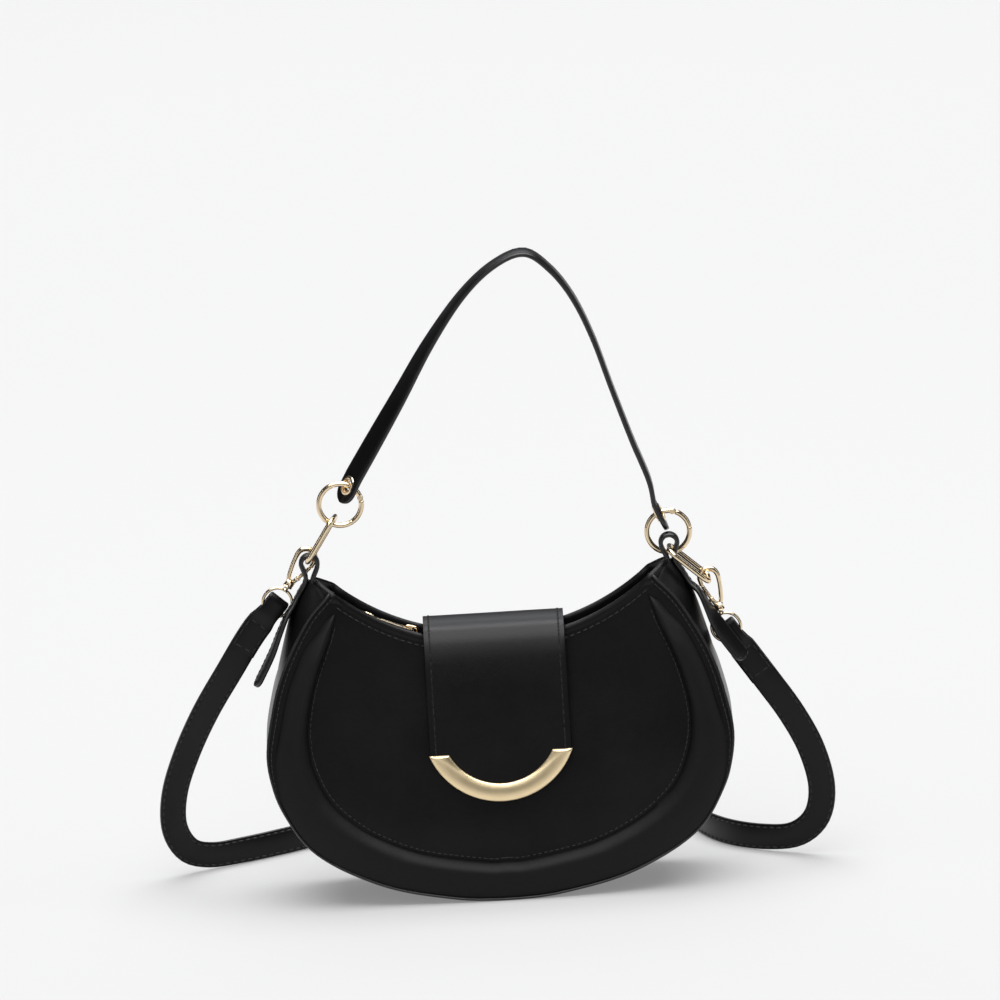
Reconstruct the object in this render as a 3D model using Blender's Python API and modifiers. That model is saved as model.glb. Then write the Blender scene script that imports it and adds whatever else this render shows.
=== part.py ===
# Half-moon crossbody bag with a top handle, snap-on strap and closing flap.
# Metres, +Z up, front towards -Y, origin on the floor under the middle of the bag.
import math
import bmesh
import bpy
from mathutils import Matrix, Vector

# Bag body
rim_width = 0.176
side_swell = 0.0385
bag_width = rim_width + 2 * side_swell
base_depth = 0.072
base_flat = 0.036
rim_depth = 0.026
rim_low = 0.1395
rim_radius = 0.162
lean_power = 1.3
ridge_bulge = 0.0165
ridge_start_share = 0.66
leather = 0.0018
gusset_leather = 0.0016
lining_cloth = 0.0008
lining_ease = 0.0036
seat_gap = 0.0003
binding_radius = 0.0019
seam_shares = ((0.245, 0.014), (0.431, 0.043), (0.58, 0.082), (0.743, 0.146), (0.854, 0.215),
               (0.93, 0.305), (0.978, 0.394), (1.0, 0.515), (0.964, 0.66), (0.924, 0.753), (0.869, 0.838), (0.79, 0.93))

# Padded roll round the recessed front
roll_height = 0.0045
roll_margin = 0.0042
roll_inner_shares = ((0.0, 0.13), (0.35, 0.169), (0.542, 0.229), (0.67, 0.298), (0.751, 0.364), (0.781, 0.416),
                     (0.811, 0.491), (0.817, 0.542), (0.811, 0.62), (0.772, 0.741), (0.692, 0.88), (0.652, 0.945))
roll_outer_end_share = 0.93

# Zip
tape_drop = 0.0046
tape_cloth = 0.0008
tape_margin = 0.002
tape_reach = rim_width / 2 - tape_margin
slit_width = 0.0044
tooth_depth = 0.0015
tooth_height = 0.0018
tooth_pitch = 0.0055
stop_length = 0.003
slider_length = 0.0095
slider_width = 0.0092
slider_plate = 0.001
slider_wedge = 0.0032
slider_place_share = 0.53
puller_length = 0.029
puller_width = 0.0052
puller_thick = 0.0014
puller_ring_outer = 0.0044
puller_ring_inner = 0.0026
puller_rise_deg = 6.0
puller_head = 0.0015
puller_window = 0.0058
bail_radius = 0.0006

# Flap, its metal bar and the magnetic snap
flap_width = 0.076
flap_lining_thick = 0.001
flap_stand = 0.0042
crest_rise = 0.0095
flap_base_length = 0.034
flap_end_height = 0.056
flap_end_ease = 0.0025
flap_end_radius = flap_width / 2 + flap_end_ease
flap_straight_share = 0.87
bar_overhang = 0.0011
bar_outer_radius = flap_end_radius + bar_overhang
bar_width = 0.0098
bar_thick = 0.0026
bar_cut_height = 0.0255
snap_radius = 0.007
snap_socket_thick = 0.0017
snap_rise = 0.021

# Tabs at the top corners
tab_thick = 0.0022
tab_neck = 0.007
tab_tail_width = 0.0115
tab_loop_radius = 0.0035
tab_loop_in = 0.0019
tab_loop_rise = 0.0115
tail_shift = 0.0047
# x share of half the bag's width, z share of the mouth's corner height
tail_right_shares = ((0.862, 0.985), (0.893, 0.943), (0.957, 0.844), (1.032, 0.755), (1.073, 0.722))
tail_left_shares = ((0.862, 0.985), (0.880, 0.948), (0.915, 0.893), (0.952, 0.828), (1.012, 0.743), (1.032, 0.722))

# Links, round rings and handle
link_wire = 0.0015
link_length = 0.0272
link_width = 0.018
link_corner = 0.0042
link_lean_left_deg = 57.0
link_lean_right_deg = -42.0
link_drop_right = 0.0049
ring_wire = 0.0016
ring_radius = 0.0115
ring_back = 0.0054
ring_contact_gap = 0.0003
ring_lean_left_deg = 62.0
ring_lean_right_deg = 90.0
eyelet_turn_left_deg = 61.0
eyelet_turn_right_deg = 113.0
gate_hinge_left_deg = 16.0
gate_end_left_deg = -58.0
gate_hinge_right_deg = 76.0
gate_end_right_deg = 8.0
knuckle_reach = 0.0023
knuckle_slot = 0.0014
cheek_share = 1.04
knuckle_pin = 0.0005
run_gap = 0.0002
handle_width = 0.015
handle_thick = 0.0026
handle_end = 0.0102
handle_height = 0.3488
handle_twist_deg = 32.0
# x share from the left eyelet to the right one, z share from the right eyelet to the top
handle_shares = ((0.172, 0.483), (0.285, 0.686), (0.402, 0.858), (0.510, 0.962), (0.611, 1.0), (0.692, 0.934),
                 (0.760, 0.824), (0.817, 0.672), (0.870, 0.477), (0.925, 0.283), (0.972, 0.132))
eyelet_outer = 0.0054
eyelet_inner = 0.0034
eyelet_lip = 0.0006
eyelet_tube = 0.0005

# Snap hooks and strap eyes, along and across the hook from the middle of its eye
hook_wire = 0.0012
hook_top = 0.0342
hook_bow = 0.005
hook_nose = 0.0265
hook_foot = 0.0016
barrel_radius = 0.0028
barrel_start = 0.0099
barrel_end = 0.0145
barrel_mouth = 0.0015
barrel_bore = 0.0021
barrel_lip = 0.0009
stem_radius = 0.0011
stem_head = 0.0017
stem_head_thick = 0.001
gate_wire = 0.001
gate_pivot_out = 0.0024
gate_pivot_up = 0.0172
eye_radius = 0.0079
eye_wire = 0.00085
hook_lean_left_deg = 35.5
hook_lean_right_deg = -16.0
hook_back_left = 0.0054
hook_back_right = 0.0052
# where the link's end wire lies in each hook, along and across it
held_up = 0.0298
held_across_left = -0.0015
held_across_right = 0.0

# Crossbody strap: the route's points are chosen by hand, from the left eye to the right eye
strap_width = 0.0148
strap_thick = 0.002
strap_fold_gap = 0.0012
strap_fold_length = 0.034
strap_steps = 78
strap_pinch_share = 0.8
share_of_turn = 0.0001
# x, y, z of the middle line, then the direction of the width (x, y, z)
strap_route = (
    (-0.1300, 0.0080, 0.1470, 0.870, 0.02, -0.480),
    (-0.1430, 0.0110, 0.1255, 0.870, 0.04, -0.480),
    (-0.1560, 0.0220, 0.1000, 0.880, 0.10, -0.430),
    (-0.1665, 0.0370, 0.0740, 0.920, 0.18, -0.300),
    (-0.1735, 0.0500, 0.0500, 0.930, 0.25, -0.100),
    (-0.1745, 0.0620, 0.0290, 0.820, 0.20, 0.350),
    (-0.1680, 0.0740, 0.0140, 0.520, 0.00, 0.780),
    (-0.1570, 0.0850, 0.0085, 0.220, -0.08, 0.960),
    (-0.1420, 0.0990, 0.0076, 0.060, -0.05, 1.000),
    (-0.1230, 0.1160, 0.0076, 0.000, 0.00, 1.000),
    (-0.0980, 0.1340, 0.0076, 0.000, 0.00, 1.000),
    (-0.0640, 0.1450, 0.0076, 0.000, 0.00, 1.000),
    (-0.0250, 0.1470, 0.0076, 0.000, 0.00, 1.000),
    (0.0150, 0.1440, 0.0076, 0.000, 0.00, 1.000),
    (0.0470, 0.1440, 0.0076, 0.000, 0.00, 1.000),
    (0.0660, 0.1540, 0.0076, 0.000, 0.00, 1.000),
    (0.0660, 0.1740, 0.0076, 0.000, 0.00, 1.000),
    (0.0470, 0.1850, 0.0076, 0.000, 0.00, 1.000),
    (0.0150, 0.1860, 0.0076, 0.000, 0.00, 1.000),
    (-0.0200, 0.1870, 0.0076, 0.000, 0.00, 1.000),
    (-0.0400, 0.1990, 0.0076, 0.000, 0.00, 1.000),
    (-0.0390, 0.2180, 0.0076, 0.000, 0.00, 1.000),
    (-0.0200, 0.2290, 0.0076, 0.000, 0.00, 1.000),
    (0.0150, 0.2290, 0.0076, 0.000, 0.00, 1.000),
    (0.0550, 0.2240, 0.0076, 0.000, 0.00, 1.000),
    (0.0850, 0.2050, 0.0076, 0.000, 0.00, 1.000),
    (0.0980, 0.1720, 0.0076, 0.000, 0.00, 1.000),
    (0.1010, 0.1350, 0.0076, 0.000, 0.00, 1.000),
    (0.1060, 0.1000, 0.0076, 0.000, 0.00, 1.000),
    (0.1190, 0.0700, 0.0076, -0.020, 0.00, 1.000),
    (0.1370, 0.0480, 0.0080, -0.120, -0.05, 0.980),
    (0.1530, 0.0330, 0.0110, -0.420, -0.05, 0.860),
    (0.1640, 0.0230, 0.0220, -0.760, 0.05, 0.560),
    (0.1680, 0.0170, 0.0400, -0.930, 0.10, 0.160),
    (0.1640, 0.0130, 0.0620, -0.930, 0.05, -0.200),
    (0.1560, 0.0100, 0.0830, -0.890, 0.02, -0.400),
    (0.1450, 0.0080, 0.1040, -0.870, 0.00, -0.490))

join_scale = 1000.0
wire_sides = 2
side_steps = 18
panel_columns = 10
gusset_columns = 6
half_base = base_depth / 2
half_rim = rim_depth / 2
half_bag = bag_width / 2
half_mouth = rim_width / 2
rim_centre = rim_low + rim_radius
edge_drop = 2 * binding_radius + 2 * seat_gap
lining_inset = leather + seat_gap


def rim_z(x, drop=0.0):
    reach = rim_radius + drop
    return rim_centre - math.sqrt(max(reach * reach - x * x, 0.0))


mouth_z = rim_z(half_mouth)


def half_depth(x, z):
    share = min(max(z / rim_z(min(abs(x), half_mouth)), 0.0), 1.0)
    return half_rim + (half_base - half_rim) * (1 - share ** lean_power)


def smooth(points, count):
    # Catmull-Rom curve through the points, read at even steps along its length
    pts = [Vector(p) for p in points]
    pts = [2 * pts[0] - pts[1]] + pts + [2 * pts[-1] - pts[-2]]
    fine = []
    for i in range(1, len(pts) - 2):
        a, b, c, d = pts[i - 1:i + 3]
        for k in range(12):
            t = k / 12
            fine.append(0.5 * (2 * b + (c - a) * t + (2 * a - 5 * b + 4 * c - d) * t * t
                               + (3 * b - 3 * c + d - a) * t ** 3))
    fine.append(pts[-2])
    return even_steps(fine, count)


def even_steps(line, count):
    runs = [0.0]
    for a, b in zip(line, line[1:]):
        runs.append(runs[-1] + (b - a).length)
    out = []
    at = 0
    for k in range(count + 1):
        want = runs[-1] * k / count
        while at < len(line) - 2 and runs[at + 1] < want:
            at += 1
        span = runs[at + 1] - runs[at]
        out.append(line[at].lerp(line[at + 1], (want - runs[at]) / span if span else 0.0))
    return out


def outward(line):
    # unit normals of a line in the XZ plane, to the right of its run
    out = []
    for i in range(len(line)):
        run = (line[min(i + 1, len(line) - 1)] - line[max(i - 1, 0)]).normalized()
        out.append(Vector((run.y, -run.x)))
    return out


def seam_line():
    start = [(base_flat / 2, 0.0)]
    middle = [(half_bag * a, mouth_z * b) for a, b in seam_shares]
    return smooth(start + middle + [(half_mouth, mouth_z)], side_steps)


seam = seam_line()
seam_out = outward(seam)


def ridge_share(z):
    share = min(max((z / mouth_z - ridge_start_share) / (1 - ridge_start_share), 0.0), 1.0)
    return share ** 1.9


def side_line(inset, top_drop, ease=0.0):
    # the right seam line moved inwards, with its top end under the rim; ease draws in the ridge's end
    line = []
    for point, out in zip(seam, seam_out):
        moved = point - out * (inset + ease * ridge_share(point.y))
        line.append(Vector((moved.x, max(moved.y, inset))))
    low_top = rim_z(line[-1].x) - top_drop
    foot = line[0].y
    stretch = (low_top - foot) / (line[-1].y - foot)
    return [Vector((p.x, foot + (p.y - foot) * (1 + (stretch - 1) * ((p.y - foot) / (line[-1].y - foot)) ** 3)))
            for p in line]


def panel_grid(face, inset, top_drop, ease=0.0):
    # rows of points from the base to the rim; face is -1 at the front and 1 at the back
    rows = []
    side = side_line(inset, top_drop, ease)
    full_sag = rim_z(side[-1].x) - rim_low
    for point in side:
        share = (point.y - side[0].y) / (side[-1].y - side[0].y)
        row = []
        for k in range(panel_columns + 1):
            u = 2 * k / panel_columns - 1
            x = u * point.x
            bow = (rim_z(u * side[-1].x) - rim_low) / full_sag
            z = point.y - full_sag * share ** 3 * (1 - bow)
            row.append(Vector((x, face * (half_depth(x, z) - inset), z)))
        rows.append(row)
    return rows


def gusset_grid(inset, top_drop, y_inset, ease=0.0):
    # rows from the left corner down, along the base and up to the right corner
    side = side_line(inset, top_drop, ease)
    rows = []
    stations = []
    for i in range(len(side) - 1, -1, -1):
        stations.append((-side[i].x, side[i].y, i))
    for k in range(1, panel_columns):
        u = 2 * k / panel_columns - 1
        stations.append((u * side[0].x, side[0].y, 0))
    for i in range(len(side)):
        stations.append((side[i].x, side[i].y, i))
    for x, z, i in stations:
        bulge = (ridge_bulge - ease) * ridge_share(seam[i].y)
        out = seam_out[i]
        reach = half_depth(x, z) - y_inset
        row = []
        for k in range(gusset_columns + 1):
            v = 2 * k / gusset_columns - 1
            push = bulge * (1 - abs(v) ** 1.4)
            row.append(Vector((x + math.copysign(out.x, x) * push, v * reach, z + out.y * push)))
        rows.append(row)
    return rows


def clear_scene():
    for old in list(bpy.data.objects):
        bpy.data.objects.remove(old, do_unlink=True)
    for group in ("crossbody_bag", "cutters"):
        bpy.context.scene.collection.children.link(bpy.data.collections.new(group))


def finish(name, colour, roughness, metallic):
    material = bpy.data.materials.get(name) or bpy.data.materials.new(name)
    material.use_nodes = True
    shader = material.node_tree.nodes["Principled BSDF"]
    shader.inputs["Base Color"].default_value = (*colour, 1.0)
    shader.inputs["Roughness"].default_value = roughness
    shader.inputs["Metallic"].default_value = metallic
    return material


def black_leather():
    return finish("black_leather", (0.012, 0.012, 0.014), 0.38, 0.0)


def black_cloth():
    return finish("black_cloth", (0.015, 0.015, 0.016), 0.85, 0.0)


def pale_gold():
    return finish("pale_gold", (0.72, 0.57, 0.33), 0.22, 1.0)


def place(obj, material):
    obj.data.materials.clear()
    obj.data.materials.append(material)
    bpy.data.collections["crossbody_bag"].objects.link(obj)
    if obj.type == "MESH":
        obj.data.shade_smooth()
        obj.data.set_sharp_from_angle(angle=math.radians(40))
    return obj


def mesh_of(name, verts, faces):
    data = bpy.data.meshes.new(name)
    data.from_pydata([tuple(v) for v in verts], [], faces)
    data.update()
    return bpy.data.objects.new(name, data)


def grid_faces(rows, columns, flip):
    faces = []
    for i in range(rows - 1):
        for k in range(columns - 1):
            a = i * columns + k
            face = (a, a + 1, a + columns + 1, a + columns)
            faces.append(tuple(reversed(face)) if flip else face)
    return faces


def sheet(name, rows, thick, material, flip=False):
    # an open sheet, made solid towards the side away from its normals
    verts = [p for row in rows for p in row]
    obj = mesh_of(name, verts, grid_faces(len(rows), len(rows[0]), flip))
    solid = obj.modifiers.new("thickness", "SOLIDIFY")
    solid.thickness = thick
    solid.offset = -1.0
    solid.use_even_offset = True
    return place(obj, material)


def loft(name, rings, material):
    # a closed tube through rings of points, with flat ends
    sides = len(rings[0])
    verts = [p for ring in rings for p in ring]
    faces = []
    for i in range(len(rings) - 1):
        for k in range(sides):
            a = i * sides + k
            b = i * sides + (k + 1) % sides
            faces.append((a, b, b + sides, a + sides))
    faces.append(tuple(range(sides - 1, -1, -1)))
    faces.append(tuple(range((len(rings) - 1) * sides, len(rings) * sides)))
    obj = mesh_of(name, verts, faces)
    bm = bmesh.new()
    bm.from_mesh(obj.data)
    bmesh.ops.recalc_face_normals(bm, faces=bm.faces)
    bm.to_mesh(obj.data)
    bm.free()
    return place(obj, material)


def wire(name, points, radius, material, closed=False, bevel=wire_sides):
    curve = bpy.data.curves.new(name, "CURVE")
    curve.dimensions = "3D"
    curve.bevel_depth = radius
    curve.bevel_resolution = bevel
    curve.use_fill_caps = True
    curve.twist_mode = "MINIMUM"
    line = curve.splines.new("POLY")
    line.points.add(len(points) - 1)
    for spot, point in zip(line.points, points):
        spot.co = (*point, 1.0)
    line.use_cyclic_u = closed
    return place(bpy.data.objects.new(name, curve), material)


def to_mesh(obj):
    # a curve or a modified object as a plain welded mesh under the same name
    bpy.context.view_layer.update()
    graph = bpy.context.evaluated_depsgraph_get()
    data = bpy.data.meshes.new_from_object(obj.evaluated_get(graph))
    name = obj.name
    matrix = obj.matrix_world.copy()
    bpy.data.objects.remove(obj, do_unlink=True)
    bm = bmesh.new()
    bm.from_mesh(data)
    bmesh.ops.remove_doubles(bm, verts=bm.verts, dist=1e-6)
    bmesh.ops.recalc_face_normals(bm, faces=bm.faces)
    bm.to_mesh(data)
    bm.free()
    made = bpy.data.objects.new(name, data)
    made.matrix_world = matrix
    bpy.data.collections["crossbody_bag"].objects.link(made)
    data.shade_smooth()
    data.set_sharp_from_angle(angle=math.radians(40))
    return made


def combine(obj, other, how):
    # a Boolean with a second object, which becomes a guide; done enlarged, as the wires are thin
    material = obj.data.materials[0]
    for group in list(other.users_collection):
        group.objects.unlink(other)
    bpy.data.collections["cutters"].objects.link(other)
    other.hide_render = True
    other.display_type = "WIRE"
    for piece in (obj, other):
        piece.data.transform(Matrix.Scale(join_scale, 4))
    step = obj.modifiers.new(how.lower(), "BOOLEAN")
    step.operation = how
    step.object = other
    step.solver = "MANIFOLD"
    done = to_mesh(obj)
    for piece in (done, other):
        piece.data.transform(Matrix.Scale(1 / join_scale, 4))
    done.data.materials.clear()
    done.data.materials.append(material)
    return done


def box(name, size, matrix):
    bm = bmesh.new()
    bmesh.ops.create_cube(bm, size=1.0, matrix=matrix @ Matrix.Diagonal((*size, 1.0)))
    data = bpy.data.meshes.new(name)
    bm.to_mesh(data)
    bm.free()
    return bpy.data.objects.new(name, data)


def cylinder(name, radius, depth, matrix, sides=20):
    bm = bmesh.new()
    bmesh.ops.create_cone(bm, cap_ends=True, segments=sides, radius1=radius, radius2=radius, depth=depth, matrix=matrix)
    data = bpy.data.meshes.new(name)
    bm.to_mesh(data)
    bm.free()
    return bpy.data.objects.new(name, data)


def turned(name, profile, matrix, material, steps=20):
    # a profile of (radius, height) turned round the local Z axis
    rows = []
    for k in range(steps):
        turn = 2 * math.pi * k / steps
        rows.append([Vector((r * math.cos(turn), r * math.sin(turn), h)) for r, h in profile])
    rings = [[matrix @ rows[k][i] for k in range(steps)] for i in range(len(profile))]
    return loft(name, rings, material)


def frame_at(origin, along, side):
    # local Z along the given direction, local X as near as can be to side
    z = Vector(along).normalized()
    y = z.cross(Vector(side)).normalized()
    x = y.cross(z)
    return Matrix.Translation(origin) @ Matrix((x, y, z)).transposed().to_4x4()


def flat_plate(name, outline, thick, matrix, material, holes=()):
    curve = bpy.data.curves.new(name, "CURVE")
    curve.dimensions = "2D"
    curve.fill_mode = "BOTH"
    curve.extrude = thick / 2
    for loop in (outline, *holes):
        line = curve.splines.new("POLY")
        line.points.add(len(loop) - 1)
        for spot, point in zip(line.points, loop):
            spot.co = (point[0], point[1], 0.0, 1.0)
        line.use_cyclic_u = True
    obj = place(bpy.data.objects.new(name, curve), material)
    obj.matrix_world = matrix
    return to_mesh(obj)


def arc(centre, radius, start_deg, end_deg, steps):
    out = []
    for k in range(steps + 1):
        turn = math.radians(start_deg + (end_deg - start_deg) * k / steps)
        out.append((centre[0] + radius * math.cos(turn), centre[1] + radius * math.sin(turn)))
    return out


# Bag body


def body_shells():
    sheet("front_panel", panel_grid(-1, 0.0, edge_drop), leather, black_leather())
    sheet("back_panel", panel_grid(1, 0.0, edge_drop), leather, black_leather(), flip=True)
    sheet("gusset", gusset_grid(0.0, edge_drop, leather + seat_gap), gusset_leather, black_leather())


def lining_pocket():
    inset = lining_inset
    front = panel_grid(-1, inset, edge_drop, lining_ease)
    back = panel_grid(1, inset, edge_drop, lining_ease)
    strip = gusset_grid(inset, edge_drop, inset, lining_ease)
    verts = []
    faces = []
    for rows, flip in ((front, False), (back, True), (strip, False)):
        start = len(verts)
        verts += [p for row in rows for p in row]
        faces += [tuple(start + i for i in face) for face in grid_faces(len(rows), len(rows[0]), flip)]
    obj = mesh_of("lining", verts, faces)
    bm = bmesh.new()
    bm.from_mesh(obj.data)
    bmesh.ops.remove_doubles(bm, verts=bm.verts, dist=lining_cloth / 8)
    bm.to_mesh(obj.data)
    bm.free()
    solid = obj.modifiers.new("thickness", "SOLIDIFY")
    solid.thickness = lining_cloth
    solid.offset = -1.0
    place(obj, black_cloth())


def border_roll():
    inner = smooth([(half_bag * a, mouth_z * b) for a, b in roll_inner_shares], side_steps)
    edge = [Vector((0.0, roll_margin))] + [p - o * roll_margin for p, o in zip(seam, seam_out)
                                            if p.y < roll_outer_end_share * mouth_z]
    outer = even_steps(edge, side_steps)
    pairs = [(Vector((-a.x, a.y)), Vector((-b.x, b.y))) for a, b in zip(inner[:0:-1], outer[:0:-1])]
    pairs += list(zip(inner, outer))
    rings = []
    last = len(pairs) - 1
    for i, (a, b) in enumerate(pairs):
        near_end = min(i, last - i) / side_steps
        swell = roll_height * min(1.0, 0.25 + 7 * near_end) ** 0.5
        ring = []
        for k in range(7):
            t = k / 6
            spot = a.lerp(b, t)
            lift = seat_gap + swell * math.sin(math.pi * t) ** 0.6
            ring.append(Vector((spot.x, -half_depth(spot.x, spot.y) - lift, spot.y)))
        for k in range(5, 0, -1):
            spot = a.lerp(b, k / 6)
            ring.append(Vector((spot.x, -half_depth(spot.x, spot.y) - seat_gap, spot.y)))
        rings.append(ring)
    loft("front_border", rings, black_leather())


def rim_bindings():
    # each binding runs from corner to corner along the tops of the gusset and its panel
    centre_in = (leather + seat_gap + lining_cloth) / 2
    corners = gusset_grid(centre_in, edge_drop, centre_in, lining_ease / 2)
    rise = Vector((0.0, 0.0, binding_radius + 2 * seat_gap))
    middle = gusset_columns // 2
    for name, face in (("front_rim", -1), ("back_rim", 1)):
        left = [p + rise for p in corners[0]]
        right = [p + rise for p in corners[-1]]
        if face < 0:
            left, right = left[:middle + 1], right[:middle + 1]
        else:
            left, right = left[:middle - 1:-1], right[:middle - 1:-1]
        left.reverse()
        for line in (left, right):
            near = 0 if line is left else -1
            line[near] = Vector((line[near].x, face * (binding_radius + seat_gap / 2), line[near].z))
        line = list(left)
        reach = -left[-1].x
        for k in range(1, 18):
            x = reach * (k / 9 - 1)
            line.append(Vector((x, face * (half_rim - centre_in), rim_z(x) - binding_radius)))
        wire(name, line + right, binding_radius, black_leather())


# Zip


def tape_point(x, y, lift):
    reach = rim_radius + tape_drop
    turn = math.asin(x / reach)
    away = reach - lift
    return Vector((away * math.sin(turn), y, rim_centre - away * math.cos(turn)))


def zip_rows():
    outer = half_rim - leather - seat_gap - lining_cloth - seat_gap
    inner = slit_width / 2 + tooth_depth + seat_gap
    for name, face in (("front", -1), ("back", 1)):
        rows = []
        for k in range(17):
            x = tape_reach * (k / 8 - 1)
            rows.append([tape_point(x, face * outer, tape_cloth / 2), tape_point(x, face * inner, tape_cloth / 2)])
        sheet("zip_tape_" + name, rows, tape_cloth, black_cloth(), flip=face < 0)
        teeth = []
        count = 2 * round((tape_reach - stop_length) / tooth_pitch)
        for k in range(-count, count + 1):
            x = (tape_reach - stop_length - seat_gap) * k / count
            tip = slit_width / 2 + (0.0 if k % 2 else tooth_depth / 2)
            root = slit_width / 2 + tooth_depth
            half = tooth_height / 2
            ring = [tape_point(x, face * root, half), tape_point(x, face * tip, half),
                    tape_point(x, face * tip, -half), tape_point(x, face * root, -half)]
            teeth.append(ring)
        loft("zip_teeth_" + name, teeth, black_cloth())


def zip_stops():
    for name, side in (("left", -1), ("right", 1)):
        x = side * (tape_reach - stop_length / 2)
        turn = math.asin(x / (rim_radius + tape_drop))
        matrix = Matrix.Translation(tape_point(x, 0.0, 0.0)) @ Matrix.Rotation(-turn, 4, "Y")
        size = (stop_length, slit_width + 2 * tooth_depth, tooth_height)
        place(box("zip_stop_" + name, size, matrix), pale_gold())


def slider_frame():
    x = -tape_reach * slider_place_share
    turn = math.asin(x / (rim_radius + tape_drop))
    return Matrix.Translation(tape_point(x, 0.0, 0.0)) @ Matrix.Rotation(-turn, 4, "Y")


def plate_height():
    return tooth_height / 2 + seat_gap + slider_plate / 2


def zip_slider():
    at = slider_frame()
    lift = plate_height()
    body = box("zip_slider", (slider_length, slider_width, slider_plate), at @ Matrix.Translation((0.0, 0.0, lift)))
    place(body, pale_gold())
    lower = box("slider_lower", (slider_length, slider_width, slider_plate), at @ Matrix.Translation((0.0, 0.0, -lift)))
    body = combine(body, lower, "UNION")
    post = box("slider_post", (slider_length / 2, slider_wedge, 2 * lift), at)
    body = combine(body, post, "UNION")
    top = lift + slider_plate / 2
    rise = 2 * bail_radius + puller_thick + 4 * seat_gap
    reach = slider_length * 0.36
    path = [(-reach, 0.0, top - bail_radius), (-reach, 0.0, top + rise - bail_radius),
            (-reach / 2, 0.0, top + rise), (reach / 2, 0.0, top + rise),
            (reach, 0.0, top + rise - bail_radius), (reach, 0.0, top - bail_radius)]
    bail = to_mesh(wire("slider_bail", [at @ Vector(p) for p in path], bail_radius, pale_gold(), bevel=1))
    combine(body, bail, "UNION")


def puller_frame():
    top = plate_height() + slider_plate / 2
    pivot = Vector((-slider_length * 0.1, 0.0, top + seat_gap * 2 + puller_thick / 2))
    return slider_frame() @ Matrix.Translation(pivot) @ Matrix.Rotation(math.radians(puller_rise_deg), 4, "Y")


def zip_puller():
    # local -X runs out to the ring end
    half = puller_width / 2
    slot = bail_radius + seat_gap
    neck = puller_length - puller_ring_outer
    outline = arc((-neck, 0.0), puller_ring_outer, 140, 220, 8)
    outline += arc((-neck, 0.0), puller_ring_outer, 222, 300, 5)
    outline += [(-neck * 0.72, -half * 0.7), (-neck * 0.3, -half), (-half, -half)]
    outline += arc((0.0, 0.0), half, -85, 85, 8)
    outline += [(-half, half), (-neck * 0.3, half), (-neck * 0.72, half * 0.7)]
    outline += arc((-neck, 0.0), puller_ring_outer, 60, 138, 5)
    hole = arc((-neck, 0.0), puller_ring_inner, 0, 337.5, 15)
    near = half - puller_head
    window = [(near - puller_window, -slot), (near, -slot), (near, slot), (near - puller_window, slot)]
    flat_plate("zip_puller", outline, puller_thick, puller_frame(), pale_gold(), holes=(hole, window))


# Flap


def flap_path():
    # the inner face of the flap in the YZ plane, from the back rim over the mouth and down the front
    back = half_rim + 3 * seat_gap
    front_top = half_rim + flap_lining_thick + 2 * binding_radius
    crest = rim_low + crest_rise
    low_y = half_depth(0.0, flap_end_height) + flap_stand
    knee_z = flap_straight_share * rim_low
    knee_y = half_depth(0.0, knee_z) + flap_stand
    points = [(back + seat_gap, rim_low - seat_gap), (back, rim_low + crest_rise * 0.5),
              (half_rim * 0.72, crest - crest_rise * 0.05), (0.0, crest),
              (-half_rim * 0.76, crest - crest_rise * 0.12), (-front_top * 0.87, rim_low + crest_rise * 0.32),
              (-front_top, rim_low - crest_rise * 0.55), (-knee_y, knee_z)]
    curve = smooth(points, 22)
    low = Vector((-low_y, flap_end_height))
    return curve[:-1] + [curve[-1].lerp(low, k / 10) for k in range(11)]


def run_length(line):
    return sum((b - a).length for a, b in zip(line, line[1:]))


def along(line, distance):
    for a, b in zip(line, line[1:]):
        step = (b - a).length
        if distance <= step:
            return a.lerp(b, distance / step)
        distance -= step
    return line[-1]


def stand_off(line, distance, stand):
    # a point along the line, moved outwards on the flap
    run = (along(line, distance + leather) - along(line, max(distance - leather, 0.0))).normalized()
    return along(line, distance) + Vector((run.y, -run.x)) * stand


def flap_rows(line, stand, half_width, end_radius):
    total = run_length(line)
    rows = []
    for i in range(23):
        row = []
        for k in range(9):
            x = half_width * (k / 4 - 1)
            drop = end_radius - math.sqrt(end_radius * end_radius - x * x)
            share = i / 22
            spot = stand_off(line, share * (total - drop * share ** 3), stand)
            row.append(Vector((x, spot.x, spot.y)))
        rows.append(row)
    return rows


def flap():
    line = flap_path()
    half = flap_width / 2
    inner = flap_rows(line, flap_lining_thick, half - 2 * seat_gap, flap_end_radius)
    outer = flap_rows(line, flap_lining_thick + seat_gap + leather, half, flap_end_radius)
    sheet("flap_lining", inner, flap_lining_thick, black_leather(), flip=True)
    sheet("flap_leather", outer, leather, black_leather(), flip=True)
    start = line[0]
    rows = []
    for i in range(5):
        z = start.y - 2 * seat_gap - flap_base_length * i / 4
        row = []
        for k in range(7):
            x = half * (k / 3 - 1)
            y = half_depth(x, z) + 2 * seat_gap + leather
            row.append(Vector((x, max(y, start.x + leather + seat_gap) if i == 0 else y, z)))
        rows.append(row)
    sheet("flap_base", rows, leather, black_leather())


def flap_plane():
    # local X across, local Y down the flap, local Z out of its face, origin at the bottom of the flap
    line = flap_path()
    down = (line[-1] - line[-4]).normalized()
    end = line[-1]
    x = Vector((1.0, 0.0, 0.0))
    y = Vector((0.0, down.x, down.y))
    z = x.cross(y)
    if z.y > 0:
        x = -x
        z = x.cross(y)
    return Matrix.Translation((0.0, end.x, end.y)) @ Matrix((x, y, z)).transposed().to_4x4()


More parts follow.
